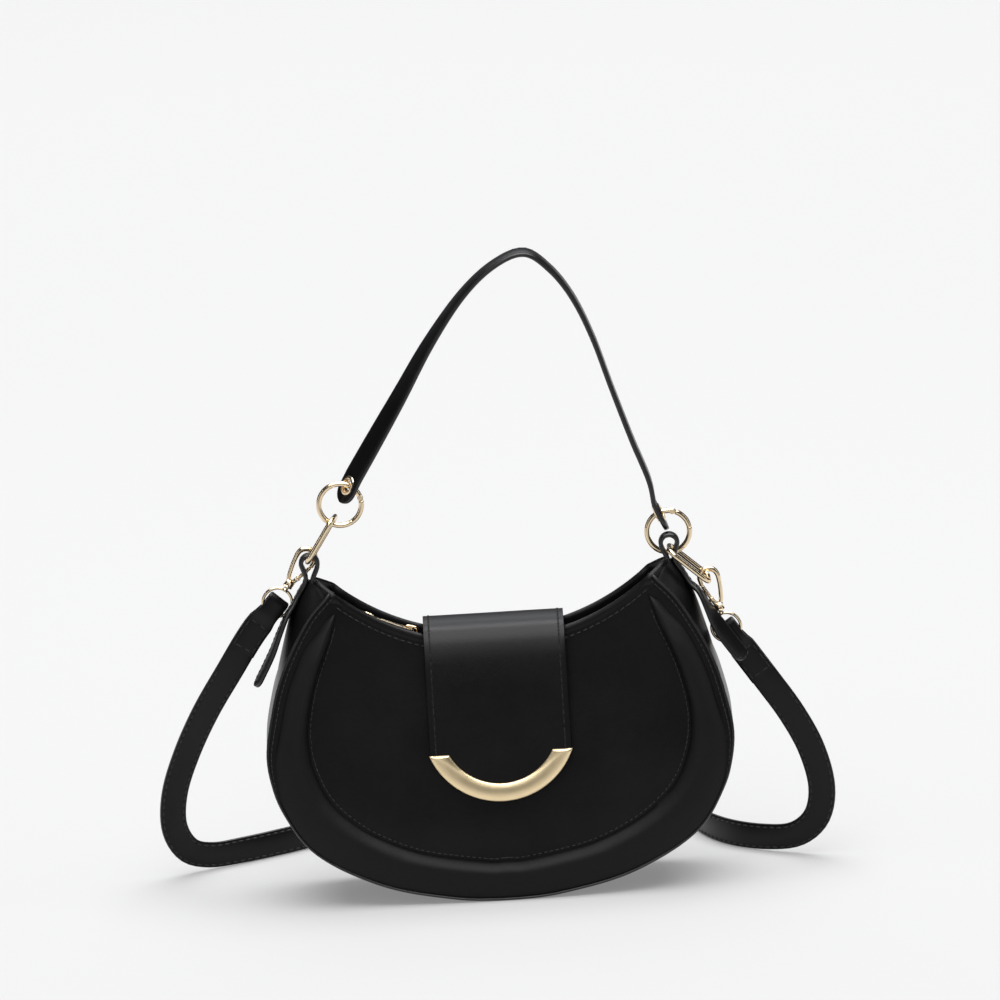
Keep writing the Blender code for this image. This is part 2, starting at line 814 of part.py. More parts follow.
def arc_bar():
    at = flap_plane()
    centre = (0.0, -flap_end_radius)
    inner_radius = bar_outer_radius - bar_width
    cut = bar_cut_height - flap_end_radius
    outer_turn = math.degrees(math.asin(-cut / bar_outer_radius)) if cut < 0 else 0.0
    inner_turn = math.degrees(math.asin(-cut / inner_radius)) if cut < 0 else 0.0
    outline = arc(centre, bar_outer_radius, outer_turn, 180 - outer_turn, 26)
    outline += arc(centre, inner_radius, 180 - inner_turn, inner_turn, 22)
    lift = flap_lining_thick + 2 * seat_gap + leather + bar_thick / 2
    flat_plate("arc_bar", outline, bar_thick, at @ Matrix.Translation((0.0, 0.0, lift)), pale_gold())


def snap():
    at = flap_plane()
    spot = at @ Matrix.Translation((0.0, -snap_rise, 0.0))
    stud_thick = flap_stand - snap_socket_thick - 4 * seat_gap - leather / 4
    place(cylinder("snap_stud", snap_radius * 0.8, stud_thick, spot @ Matrix.Translation((0.0, 0.0, -seat_gap - stud_thick / 2))),
          pale_gold())
    z = spot.translation.z
    y = half_depth(0.0, z)
    slope = math.atan2(half_depth(0.0, z - snap_radius) - half_depth(0.0, z + snap_radius), 2 * snap_radius)
    seat = Matrix.Translation((0.0, -y, z)) @ Matrix.Rotation(math.pi / 2 - slope, 4, "X")
    lift = seat_gap + snap_socket_thick / 2
    place(cylinder("snap_socket", snap_radius, snap_socket_thick, seat @ Matrix.Translation((0.0, 0.0, lift))), pale_gold())


# Hardware helpers


def ribbon(name, centres, widths, half_widths, thick, material):
    # a flat strip through the centres, its width along the given directions
    rings = []
    last = len(centres) - 1
    for i, centre in enumerate(centres):
        run = (centres[min(i + 1, last)] - centres[max(i - 1, 0)]).normalized()
        side = Vector(widths[i])
        side = (side - run * side.dot(run)).normalized()
        face = run.cross(side) * (thick / 2)
        half = side * half_widths[i]
        rings.append([centre + half + face, centre + half - face, centre - half - face, centre - half + face])
    return loft(name, rings, material)


def ring_solid(name, profile, matrix, material, steps=20):
    # a closed profile of (radius, height) turned round the local Z axis, open in the middle
    count = len(profile)
    verts = []
    for k in range(steps):
        turn = 2 * math.pi * k / steps
        verts += [matrix @ Vector((r * math.cos(turn), r * math.sin(turn), h)) for r, h in profile]
    faces = []
    for k in range(steps):
        for i in range(count):
            a = k * count + i
            b = k * count + (i + 1) % count
            c = ((k + 1) % steps) * count + (i + 1) % count
            d = ((k + 1) % steps) * count + i
            faces.append((a, b, c, d))
    return place(welded(mesh_of(name, verts, faces)), material)


def welded(obj):
    bm = bmesh.new()
    bm.from_mesh(obj.data)
    bmesh.ops.recalc_face_normals(bm, faces=bm.faces)
    bm.to_mesh(obj.data)
    bm.free()
    return obj


def turned_to(degrees):
    # a unit direction in the XZ plane
    return Vector((math.cos(math.radians(degrees)), 0.0, math.sin(math.radians(degrees))))


def arc_points(centre, radius, start_deg, end_deg, steps):
    return [centre + turned_to(start_deg + (end_deg - start_deg) * k / steps) * radius for k in range(steps + 1)]


def across_y(origin, direction):
    # local Z along world Y, local X along the given direction
    return frame_at(origin, (0.0, 1.0, 0.0), direction)


def hinged_pair(body, gate, pivot, body_way, gate_way, half, pin_name):
    # cheeks on the body, a tongue on the gate and a pin through both; half is the body wire's radius
    seat = across_y(pivot, body_way)
    body = combine(body, cylinder("cheek", half * cheek_share, 2 * half / cheek_share, seat), "UNION")
    slot = box("slot", (4 * knuckle_reach, 3 * half, knuckle_slot), across_y(pivot, gate_way))
    slot.data.transform(Matrix.Translation(gate_way * (2 * knuckle_reach - half - run_gap)))
    body = combine(body, slot, "DIFFERENCE")
    hole = cylinder("pin_hole", knuckle_pin + run_gap, 4 * half, seat, sides=12)
    body = combine(body, hole, "DIFFERENCE")
    tongue = knuckle_slot - 2 * run_gap
    end = half - run_gap
    side = end * 0.8
    outline = arc((0.0, 0.0), end, 60, 300, 12) + [(knuckle_reach + half, -side), (knuckle_reach + half, side)]
    hole = arc((0.0, 0.0), knuckle_pin + run_gap, 0, 330, 11)
    blade = flat_plate("tongue", outline, tongue, across_y(pivot, gate_way), pale_gold(), holes=(hole,))
    blade.data.transform(blade.matrix_world)
    blade.matrix_world = Matrix.Identity(4)
    gate = combine(gate, blade, "UNION")
    place(cylinder(pin_name, knuckle_pin, 2 * half, seat, sides=12), pale_gold())
    return body, gate


# Tabs


def corner_ridge(side):
    # points down the folded ridge of one gusset corner, from its top
    rows = gusset_grid(0.0, edge_drop, leather + seat_gap)
    picked = rows[:8] if side < 0 else rows[:-9:-1]
    return [row[gusset_columns // 2] for row in picked]


def loop_middle(side):
    top = corner_ridge(side)[0]
    return Vector((top.x - side * tab_loop_in, 0.0, top.z + tab_loop_rise))


def tab(side, name, shares):
    ridge = corner_ridge(side)
    middle = loop_middle(side)
    bend = tab_loop_radius + tab_thick / 2
    seat = ridge[0].z + 2 * binding_radius + 4 * seat_gap
    points = [Vector((middle.x - side * bend, 0.0, seat + (middle.z - seat) * k / 2)) for k in range(2)]
    for k in range(13):
        turn = math.pi * (1 - k / 12)
        points.append(middle + Vector((side * bend * math.cos(turn), 0.0, bend * math.sin(turn))))
    stand = seat_gap + tab_thick / 2
    lean = (ridge[1] - ridge[0]).normalized()
    out = Vector((-lean.z * side, 0.0, lean.x * side))
    if out.x * side < 0:
        out = -out
    points.append(ridge[0] + out * (1.6 * stand) - lean * tab_thick)
    points.append(ridge[0].lerp(ridge[1], 0.42) + out * (1.6 * stand))
    neck = len(points)
    points += [Vector((side * half_bag * a, 0.0, mouth_z * b)) for a, b in shares]
    flat = [Vector((p.x, p.z)) for p in points[neck - 3:]]
    tail = [Vector((p.x, 0.0, p.y)) for p in smooth(flat, 20)]
    points = points[:neck - 3] + tail
    steps = len(tail)
    halves = [tab_neck / 2] * (neck - 3)
    for k in range(steps):
        share = min(max((k / (steps - 1) - 0.2) / 0.35, 0.0), 1.0)
        share = share * share * (3 - 2 * share)
        half = tab_neck / 2 + (tab_tail_width - tab_neck) / 2 * share
        left = (tail[-1] - tail[k]).length
        if left < half:
            half *= math.sqrt(max(1 - (1 - left / half) ** 2, 0.06))
        halves.append(half)
        tail[k].y = -tail_shift * share
    ribbon(name, points, [(0.0, 1.0, 0.0)] * len(points), halves, tab_thick, black_leather())


# Links and round rings


def link_way(side):
    return turned_to(link_lean_left_deg if side < 0 else link_lean_right_deg)


def link_held(side):
    # middle of the end wire that lies in the tab's loop
    drop = 0.0 if side < 0 else link_drop_right
    return loop_middle(side) + Vector((0.0, 0.0, tab_loop_radius - link_wire - ring_contact_gap - drop))


def link_other(side):
    return link_held(side) + link_way(side) * link_length


def link(side, name):
    start = link_held(side)
    way = link_way(side)
    across = Vector((0.0, 1.0, 0.0))
    half = link_width / 2 - link_corner
    outline = []
    for cx, cy, turn in ((link_length - link_corner, half, 0), (link_corner, half, 90),
                         (link_corner, -half, 180), (link_length - link_corner, -half, 270)):
        outline += arc((cx, cy), link_corner, turn, turn + 90, 5)
    wire(name, [start + way * a + across * b for a, b in outline], link_wire, pale_gold(), closed=True)


def ring_middle(side):
    reach = ring_radius - (link_wire + ring_wire + ring_contact_gap)
    if side < 0:
        return link_other(side) + turned_to(ring_lean_left_deg) * reach
    return link_held(side) + turned_to(ring_lean_right_deg) * reach + Vector((0.0, ring_back, 0.0))


def round_ring(side, end, hinge_deg, free_deg):
    # the body runs the long way round from the hinge to the gate's free end
    middle = ring_middle(side)
    pivot = middle + turned_to(hinge_deg) * ring_radius
    half_turn = math.degrees(knuckle_reach / ring_radius)
    lap_turn = math.degrees(ring_wire / ring_radius)
    steps = 24
    body = to_mesh(wire("oring_" + end, arc_points(middle, ring_radius, hinge_deg, free_deg + 360 + lap_turn, steps),
                        ring_wire, pale_gold()))
    gate = to_mesh(wire("oring_gate_" + end,
                        arc_points(middle, ring_radius, hinge_deg - half_turn, free_deg - lap_turn, 6),
                        ring_wire, pale_gold()))
    # both free ends are cut square to the line from the hinge, so that the gate can pass
    free = middle + turned_to(free_deg) * ring_radius
    way = (free - pivot).normalized()
    for name, sign in (("nose_cut", -1), ("gate_cut", 1)):
        cutter = box(name, (3 * ring_wire, 4 * ring_wire, 4 * ring_wire), across_y(free, way))
        cutter.data.transform(Matrix.Translation(way * sign * (3 * ring_wire / 2 - seat_gap)))
        if sign < 0:
            body = combine(body, cutter, "DIFFERENCE")
        else:
            gate = combine(gate, cutter, "DIFFERENCE")
    body_way = turned_to(hinge_deg + 90)
    hinged_pair(body, gate, pivot, body_way, -body_way, ring_wire, "oring_pin_" + end)


# Handle


def eyelet_middle(side):
    turn = eyelet_turn_left_deg if side < 0 else eyelet_turn_right_deg
    return ring_middle(side) + turned_to(turn) * ring_radius


def handle_frame(side):
    # local Z through the eyelet, local X along the handle and away from the ring
    away = turned_to(eyelet_turn_left_deg if side < 0 else eyelet_turn_right_deg)
    twist = Matrix.Rotation(math.radians(handle_twist_deg if side < 0 else 0.0), 4, away)
    face = twist @ Vector((away.z, 0.0, -away.x))
    return frame_at(eyelet_middle(side), face, away), away


def handle():
    left = eyelet_middle(-1)
    right = eyelet_middle(1)
    away = [handle_frame(side)[1] for side in (-1, 1)]
    run = right.x - left.x
    rise = handle_height - right.z
    flat = [Vector((left.x + run * a, right.z + rise * b)) for a, b in handle_shares]
    half = eyelet_outer + eyelet_lip
    start = left + away[0] * half
    stop = right + away[1] * half
    curve = smooth([Vector((start.x, start.z))] + flat + [Vector((stop.x, stop.z))], 40)
    middle = []
    for i, p in enumerate(curve):
        share = i / (len(curve) - 1)
        middle.append(Vector((p.x, left.y + (right.y - left.y) * share, p.y)))
    ends = []
    for spot, way in ((left, away[0]), (right, away[1])):
        ends.append([spot - way * handle_end * k for k in (1.0, 0.97, 0.9, 0.8, 0.66, 0.5)] + [spot + way * half / 2])
    points = ends[0] + middle + ends[1][::-1]
    widths = []
    halves = []
    lead = len(ends[0])
    top = curve.index(max(curve, key=lambda p: p.y))
    for i, p in enumerate(points):
        share = min(max(1 - (i - lead) / top, 0.0), 1.0)
        turn = math.radians(handle_twist_deg) * share * share * (3 - 2 * share)
        near = points[min(i + 1, len(points) - 1)] - points[max(i - 1, 0)]
        widths.append(Matrix.Rotation(turn, 3, near.normalized()) @ Vector((0.0, 1.0, 0.0)))
        gone = min((p - points[0]).length, (p - points[-1]).length)
        half = handle_width / 2
        halves.append(half * math.sqrt(max(1 - (1 - gone / half) ** 2, 0.08)) if gone < half else half)
    strip = ribbon("handle", points, widths, halves, handle_thick, black_leather())
    for side, end in ((-1, "left"), (1, "right")):
        at = handle_frame(side)[0]
        tube = eyelet_inner + eyelet_tube
        strip = combine(strip, cylinder("eyelet_hole", tube + seat_gap, 4 * handle_thick, at, sides=20), "DIFFERENCE")
        high = handle_thick / 2 + seat_gap
        profile = [(eyelet_inner, -high - eyelet_lip), (eyelet_outer, -high - eyelet_lip / 2), (eyelet_outer, -high),
                   (tube, -high), (tube, high), (eyelet_outer, high), (eyelet_outer, high + eyelet_lip / 2),
                   (eyelet_inner, high + eyelet_lip)]
        ring_solid("eyelet_" + end, profile, at, pale_gold())


# Snap hooks and strap eyes


def hook_ways(side):
    # along the hook and across it, the gate's side negative
    up = turned_to(90 - (hook_lean_left_deg if side < 0 else hook_lean_right_deg))
    return up, Vector((up.z * side, 0.0, -up.x * side))


def eye_middle(side):
    up, across = hook_ways(side)
    held = link_held(side) if side < 0 else link_other(side)
    out = held_across_left if side < 0 else held_across_right
    back = hook_back_left if side < 0 else hook_back_right
    return held - up * held_up - across * out + Vector((0.0, back, 0.0))


def hook(side, end):
    up, across = hook_ways(side)
    origin = eye_middle(side)

    def spot(sideways, along_hook):
        return origin + across * sideways + up * along_hook

    at = frame_at(origin, up, across)
    barrel = turned("hook_" + end, [(barrel_radius - barrel_lip / 3, barrel_start), (barrel_radius, barrel_start + barrel_lip / 3),
                                    (barrel_radius, barrel_end - barrel_lip / 2),
                                    (barrel_radius - barrel_lip / 2, barrel_end)], at, pale_gold())
    bow_up = hook_top - hook_bow
    path = [spot(hook_foot, barrel_end - barrel_lip / 2), spot(hook_foot + hook_wire, barrel_end + hook_wire * 2)]
    path.append(spot(hook_bow, bow_up - hook_wire))
    for k in range(13):
        turn = math.pi * k / 12
        path.append(spot(hook_bow * math.cos(turn), bow_up + hook_bow * math.sin(turn)))
    path.append(spot(-hook_bow, hook_nose))
    pivot = spot(-gate_pivot_out, gate_pivot_up)
    nose = path[-1]
    body = combine(barrel, to_mesh(wire("hook_wire", path, hook_wire, pale_gold())), "UNION")
    foot = to_mesh(wire("hook_foot", [spot(-gate_pivot_out / 2, barrel_end - barrel_lip / 2), pivot], hook_wire, pale_gold()))
    body = combine(body, foot, "UNION")
    gate_way = (nose - pivot).normalized()
    reach = (nose - pivot).length
    gate_line = [pivot + gate_way * knuckle_reach, pivot + gate_way * (reach - hook_wire / 2 - seat_gap)]
    gate = to_mesh(wire("hook_gate_" + end, gate_line, gate_wire, pale_gold()))
    body, gate = hinged_pair(body, gate, pivot, -gate_way, gate_way, hook_wire, "hook_pin_" + end)
    notch = box("notch", (hook_wire, 4 * hook_wire, 4 * hook_wire), across_y(nose, gate_way))
    bore_top = barrel_end - barrel_lip
    bore_low = barrel_start + barrel_lip
    mouth = Matrix.Translation((0.0, 0.0, barrel_start))
    body = combine(body, cylinder("barrel_mouth", barrel_mouth, 3 * barrel_lip, at @ mouth), "DIFFERENCE")
    middle = Matrix.Translation((0.0, 0.0, (bore_low + bore_top) / 2))
    body = combine(body, cylinder("barrel_bore", barrel_bore, bore_top - bore_low, at @ middle), "DIFFERENCE")
    combine(body, notch, "DIFFERENCE")


def eye(side, end):
    up, across = hook_ways(side)
    origin = eye_middle(side)
    at = frame_at(origin, up, across)
    ring = [origin + across * (eye_radius * math.cos(2 * math.pi * k / 20)) + up * (eye_radius * math.sin(2 * math.pi * k / 20))
            for k in range(20)]
    body = to_mesh(wire("eye_" + end, ring, eye_wire, pale_gold(), closed=True))
    head_low = barrel_start + barrel_lip + seat_gap
    profile = [(stem_radius, eye_radius), (stem_radius, head_low), (stem_head, head_low + seat_gap),
               (stem_head, head_low + stem_head_thick), (stem_radius, head_low + stem_head_thick + seat_gap)]
    combine(body, turned("stem_" + end, profile, at, pale_gold(), steps=14), "UNION")


# Crossbody strap


def fold(side, run_line):
    # from the folded tail's end up its layer in front and over the eye's chord
    origin = eye_middle(side)
    run = run_line[3] - run_line[0]
    run.y = 0.0
    run.normalize()
    bend = strap_fold_gap + strap_thick / 2
    layer = strap_thick + seat_gap
    points = []
    for share in (1.0, 0.82, 0.64, 0.48, 0.36, 0.24, 0.12):
        near = min(max((share * strap_fold_length - eye_radius) / eye_radius, 0.0), 1.0)
        near = near * near * (3 - 2 * near)
        spot = along(run_line, share * strap_fold_length)
        points.append(spot - Vector((0.0, 2 * bend + (layer - 2 * bend) * near, 0.0)))
    for k in range(7):
        turn = math.pi * k / 7
        points.append(origin - run * (bend * math.sin(turn)) - Vector((0.0, bend * math.cos(turn), 0.0)))
    return points


def strap():
    bend = strap_fold_gap + strap_thick / 2
    route = []
    for side, near in ((-1, strap_route[0]), (1, strap_route[-1])):
        top = eye_middle(side) + Vector((0.0, bend, 0.0))
        run = (Vector(near[:3]) - top).normalized()
        side_way = run.cross(Vector((0.0, -side, 0.0)))
        route.append(Vector((*top, *(side_way * share_of_turn))))
    middle = [Vector((p[0], p[1], p[2], p[3] * share_of_turn, p[4] * share_of_turn, p[5] * share_of_turn)) for p in strap_route]
    for i, other in ((0, middle[0]), (1, middle[-1])):
        if Vector(route[i][3:6]).dot(Vector(other[3:6])) < 0:
            route[i] = Vector((*route[i][:3], *(-Vector(route[i][3:6]))))
    curve = smooth([route[0]] + middle + [route[1]], strap_steps - 28)
    line = [Vector(p[:3]) for p in curve]
    turns = [Vector(p[3:6]) for p in curve]
    left = fold(-1, line)
    right = fold(1, line[::-1])
    points = left + line + right[::-1]
    widths = [turns[0]] * len(left) + turns + [turns[-1]] * len(right)
    halves = []
    for p in points:
        near = min((p - eye_middle(side)).length for side in (-1, 1))
        share = min(max((near - eye_radius) / eye_radius, 0.0), 1.0)
        halves.append(strap_width / 2 * (strap_pinch_share + (1 - strap_pinch_share) * share))
    ribbon("strap", points, widths, halves, strap_thick, black_leather())


clear_scene()
body_shells()
lining_pocket()
border_roll()
rim_bindings()
zip_rows()
zip_stops()
zip_slider()
zip_puller()
flap()
arc_bar()
snap()
tab(-1, "tab_left", tail_left_shares)
tab(1, "tab_right", tail_right_shares)
link(-1, "link_left")
link(1, "link_right")
round_ring(-1, "left", gate_hinge_left_deg, gate_end_left_deg)
round_ring(1, "right", gate_hinge_right_deg, gate_end_right_deg)
handle()
for side, end in ((-1, "left"), (1, "right")):
    hook(side, end)
    eye(side, end)
strap()
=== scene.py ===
# A half-moon crossbody bag in black leather with pale gold fittings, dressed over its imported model.
import bpy
import bmesh
from math import asin, atan2, copysign, cos, degrees, hypot, pi, radians, sin, sqrt
from mathutils import Matrix, Vector, noise


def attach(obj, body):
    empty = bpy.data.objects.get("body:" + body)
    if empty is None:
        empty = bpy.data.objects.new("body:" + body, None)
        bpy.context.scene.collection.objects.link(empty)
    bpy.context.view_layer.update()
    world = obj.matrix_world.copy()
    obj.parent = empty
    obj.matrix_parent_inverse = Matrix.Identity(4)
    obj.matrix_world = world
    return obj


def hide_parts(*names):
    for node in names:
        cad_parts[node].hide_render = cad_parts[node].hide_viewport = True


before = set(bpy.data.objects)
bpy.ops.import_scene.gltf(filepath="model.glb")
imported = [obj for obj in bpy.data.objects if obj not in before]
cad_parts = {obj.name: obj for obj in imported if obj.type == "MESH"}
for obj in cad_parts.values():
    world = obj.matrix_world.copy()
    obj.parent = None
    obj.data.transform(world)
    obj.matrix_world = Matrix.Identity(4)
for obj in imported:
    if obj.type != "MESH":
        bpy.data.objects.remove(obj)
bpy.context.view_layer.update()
axisY = Vector((0, 1, 0))
axisZ = Vector((0, 0, 1))

# The bag's own shape, the same as the model's but for its slightly higher corners
bag = dict(halfWide=0.1265, halfBase=0.036, halfRim=0.013, rimLow=0.1395, rimRadius=0.162, halfMouth=0.088,
           power=1.3, ridge=0.0165, ridgeStart=0.66, leather=0.0018, gusset=0.0016, flat=0.018, rimRise=0.0068,
           cornerDrop=0.004)
rimCentre = bag["rimLow"] + bag["rimRadius"]
seamShares = ((0.245, 0.014), (0.431, 0.043), (0.58, 0.082), (0.743, 0.146), (0.854, 0.215), (0.93, 0.305),
              (0.978, 0.394), (1.0, 0.515), (0.964, 0.66), (0.924, 0.753), (0.869, 0.838), (0.79, 0.93))


def rimZ(x):
    arch = rimCentre - sqrt(max(bag["rimRadius"] ** 2 - x * x, 0.0))
    return arch + bag["rimRise"] * abs(x / bag["halfMouth"]) ** 3


mouthZ = rimZ(bag["halfMouth"]) - bag["rimRise"]


def halfDepth(x, z):
    share = min(max(z / rimZ(min(abs(x), bag["halfMouth"])), 0.0), 1.0)
    return bag["halfRim"] + (bag["halfBase"] - bag["halfRim"]) * (1 - share ** bag["power"])


def lengthsOf(line):
    # how far each point of a line lies from its start
    lengths = [0.0]
    for a, b in zip(line, line[1:]):
        lengths.append(lengths[-1] + (b - a).length)
    return lengths


def evenSteps(line, count):
    lengths = lengthsOf(line)
    out = []
    at = 0
    for k in range(count + 1):
        want = lengths[-1] * k / count
        while at < len(line) - 2 and lengths[at + 1] < want:
            at += 1
        span = lengths[at + 1] - lengths[at]
        out.append(line[at].lerp(line[at + 1], (want - lengths[at]) / span if span else 0.0))
    return out


def smoothLine(points, count):
    # a smooth curve through the points, in even steps
    pts = [Vector(p) for p in points]
    pts = [2 * pts[0] - pts[1]] + pts + [2 * pts[-1] - pts[-2]]
    fine = []
    for i in range(1, len(pts) - 2):
        a, b, c, d = pts[i - 1:i + 3]
        for t in [k / 16 for k in range(16)]:
            fine.append(0.5 * (2 * b + (c - a) * t + (2 * a - 5 * b + 4 * c - d) * t * t
                               + (3 * b - 3 * c + d - a) * t ** 3))
    return evenSteps(fine + [pts[-2]], count)


def runsOf(points, closed=False):
    # the direction of a line at each of its points
    last = len(points) - 1
    runs = []
    for i in range(last + 1):
        before = points[i - 1 if closed else max(i - 1, 0)]
        after = points[(i + 1) % (last + 1) if closed else min(i + 1, last)]
        runs.append((after - before).normalized())
    return runs


def along(line, distance):
    for a, b in zip(line, line[1:]):
        step = (b - a).length
        if distance <= step:
            return a.lerp(b, distance / step)
        distance -= step
    return line[-1]


def ease(t):
    t = min(max(t, 0.0), 1.0)
    return t * t * (3 - 2 * t)


def arcPoints(cx, cy, radius, start, stop, steps):
    # (x, y) points of an arc, its angles in degrees
    turns = [radians(start + (stop - start) * k / steps) for k in range(steps + 1)]
    return [(cx + radius * cos(turn), cy + radius * sin(turn)) for turn in turns]


def turnedTo(angle):
    return Vector((cos(radians(angle)), 0.0, sin(radians(angle))))


def frameAt(origin, way, side):
    # a frame whose Z looks along way and whose X lies towards side
    z = Vector(way).normalized()
    y = z.cross(Vector(side)).normalized()
    return Matrix.Translation(origin) @ Matrix((y.cross(z), y, z)).transposed().to_4x4()


def moved(x, y, z):
    return Matrix.Translation((x, y, z))


seam = smoothLine([(bag["flat"] * 0.3, 0.0), (bag["flat"], 0.0006)]
                  + [(bag["halfWide"] * a, mouthZ * b) for a, b in seamShares] + [(bag["halfMouth"], mouthZ)], 72)
seamOut = [Vector((run.y, -run.x)) for run in runsOf(seam)]


def ridgeShare(z):
    return min(max((z / mouthZ - bag["ridgeStart"]) / (1 - bag["ridgeStart"]), 0.0), 1.0) ** 1.9


def sideLine(inset, topDrop, draw=0.0):
    # a panel's edge from the base to its corner, which ends topDrop under the rim
    line = [p - out * (inset + draw * ridgeShare(p.y)) for p, out in zip(seam, seamOut)]
    line = [Vector((p.x, max(p.y, inset))) for p in line]
    foot, tall = line[0].y, line[-1].y - line[0].y
    stretch = (rimZ(line[-1].x) - topDrop - foot) / tall
    return [Vector((p.x, foot + (p.y - foot) * (1 + (stretch - 1) * ((p.y - foot) / tall) ** 3))) for p in line]


def panelRows(face, inset, topDrop, columns, draw=0.0):
    side = sideLine(inset, topDrop, draw)
    foot, top = side[0], side[-1]
    sag = rimZ(top.x) - bag["rimLow"]
    rows = []
    for point in side:
        share = (point.y - foot.y) / (top.y - foot.y)
        row = []
        for u in [2 * k / columns - 1 for k in range(columns + 1)]:
            bow = (rimZ(u * top.x) - bag["rimLow"]) / sag
            z = point.y - sag * share ** 3 * (1 - bow)
            row.append(Vector((u * point.x, face * (halfDepth(u * point.x, z) - inset), z)))
        rows.append(row)
    return rows


def gussetRows(inset, topDrop, yInset, columns, floorSteps, draw=0.0):
    # rows across the gusset, from the left corner under the base to the right one
    side = sideLine(inset, topDrop, draw)
    right = [(p.x, p.y, i) for i, p in enumerate(side)]
    base = [((2 * k / floorSteps - 1) * side[0].x, side[0].y, 0) for k in range(1, floorSteps)]
    rows = []
    for x, z, i in [(-x, z, i) for x, z, i in right[::-1]] + base + right:
        corner, out = ridgeShare(seam[i].y), seamOut[i]
        row = []
        for v in [2 * k / columns - 1 for k in range(columns + 1)]:
            swell = corner * (1 - abs(v) ** 1.4)
            push = (bag["ridge"] - draw) * swell
            row.append(Vector((x + copysign(out.x, x) * push, v * (halfDepth(x, z) - yInset),
                               z + out.y * push - bag["cornerDrop"] * swell)))
        rows.append(row)
    return rows


# Mesh makers


def addGrid(mesh, rows, flip=False):
    verts = [[mesh.verts.new(p) for p in row] for row in rows]
    for a, b in zip(verts, verts[1:]):
        for k in range(len(a) - 1):
            loop = (a[k], a[k + 1], b[k + 1], b[k])
            mesh.faces.new(loop[::-1] if flip else loop)


def addRings(mesh, rings, material=0, closed=False, edges=()):
    # a skin through rings of points; faces whose index round the ring is in edges take material 1
    verts = [[mesh.verts.new(p) for p in ring] for ring in rings]
    count = len(rings[0])
    for a, b in zip(verts, verts[1:] + verts[:1] if closed else verts[1:]):
        for k in range(count):
            j = (k + 1) % count
            mesh.faces.new((a[k], a[j], b[j], b[k])).material_index = 1 if k in edges else material
    if not closed:
        for cap in (verts[0][::-1], verts[-1]):
            mesh.faces.new(cap).material_index = 1 if edges else material


def addTube(mesh, points, radius, closed=False, sides=14, material=0):
    # a tube with rounded ends, whose frame is carried along the line
    runs = runsOf(points, closed)
    radii = radius if isinstance(radius, list) else [radius] * len(points)
    side = runs[0].orthogonal().normalized()
    rounds = []
    for point, run, r in zip(points, runs, radii):
        side = (side - run * side.dot(run)).normalized()
        rounds.append((point, side, run.cross(side), r))
    if not closed:
        ends = [[(p + out * r * h, a, b, r * w) for h, w in ((0.15, 0.94), (0.38, 0.72), (0.5, 0.35))]
                for (p, a, b, r), out in ((rounds[0], -runs[0]), (rounds[-1], runs[-1]))]
        rounds = ends[0][::-1] + rounds + ends[1]
    turns = [2 * pi * k / sides for k in range(sides)]
    rings = [[p + (a * cos(t) + b * sin(t)) * r for t in turns] for p, a, b, r in rounds]
    addRings(mesh, rings, material, closed)


def addTurned(mesh, profile, matrix, steps=32, closed=False):
    # (radius, height) points turned round local Z; a closed profile leaves the middle open
    rings = [[matrix @ Vector((r * cos(turn), r * sin(turn), h)) for r, h in profile]
             for turn in [2 * pi * k / steps for k in range(steps)]]
    addRings(mesh, rings if closed else list(zip(*rings)), closed=closed)


def bevelled(mesh, edges, width, segments=2):
    bmesh.ops.bevel(mesh, geom=edges, offset=width, segments=segments, affect="EDGES", profile=0.6)


def addBlock(mesh, size, matrix, bevel, segments=2):
    cube = bmesh.ops.create_cube(mesh, size=1.0, matrix=matrix @ Matrix.Diagonal((*size, 1.0)))
    bevelled(mesh, list(dict.fromkeys(e for v in cube["verts"] for e in v.link_edges)), bevel, segments)


def addPlate(mesh, outline, thick, matrix, bevel, holes=()):
    # a flat plate from an outline and its holes, all closed lines of (x, y)
    loops = [[[mesh.verts.new(matrix @ Vector((x, y, z))) for x, y in line] for z in (-thick / 2, thick / 2)]
             for line in (outline, *holes)]
    faces, rims = [], []
    for level in (0, 1):
        edges = [mesh.edges.new(pair) for loop in loops
                 for pair in zip(loop[level], loop[level][1:] + loop[level][:1])]
        filled = bmesh.ops.triangle_fill(mesh, use_beauty=True, edges=edges)["geom"]
        faces += [f for f in filled if isinstance(f, bmesh.types.BMFace)]
        rims += edges
    for low, high in loops:
        for k in range(len(low)):
            j = (k + 1) % len(low)
            faces.append(mesh.faces.new((low[k], low[j], high[j], high[k])))
    bmesh.ops.recalc_face_normals(mesh, faces=faces)
    bevelled(mesh, rims, bevel)


def stripProfile(half, thick):
    # a strip's cross-section with soft, slightly swollen edges, as (across, out) points
    inner = half - thick * 0.9
    side = [(inner, thick), (half - thick * 0.35, thick * 0.82), (half, thick * 0.3)]
    side += [(x, -y) for x, y in side[::-1]]
    return [(-inner, thick), (0.0, thick), *side, (0.0, -thick)] + [(-x, -y) for x, y in side[:-1]]


def addStrip(mesh, points, widths, halves, thick):
    # a flat leather strip with painted edges; the frames along it are given back for stitching
    frames = []
    for point, run, wide, half in zip(points, runsOf(points), widths, halves):
        side = (wide - run * wide.dot(run)).normalized()
        frames.append((point, side, run.cross(side), half))
    rings = [[p + s * a + f * b for a, b in stripProfile(h, thick / 2)] for p, s, f, h in frames]
    addRings(mesh, rings, edges=(3, 4, 5, 10, 11, 12))
    return frames


stitchShape = ((-1.0, -0.55, 0.45), (-0.8, -0.05, 0.85), (-0.35, 0.3, 1.0), (0.35, 0.3, 1.0), (0.8, -0.05, 0.85),
               (1.0, -0.55, 0.45))
sixths = [pi * k / 3 for k in range(6)]


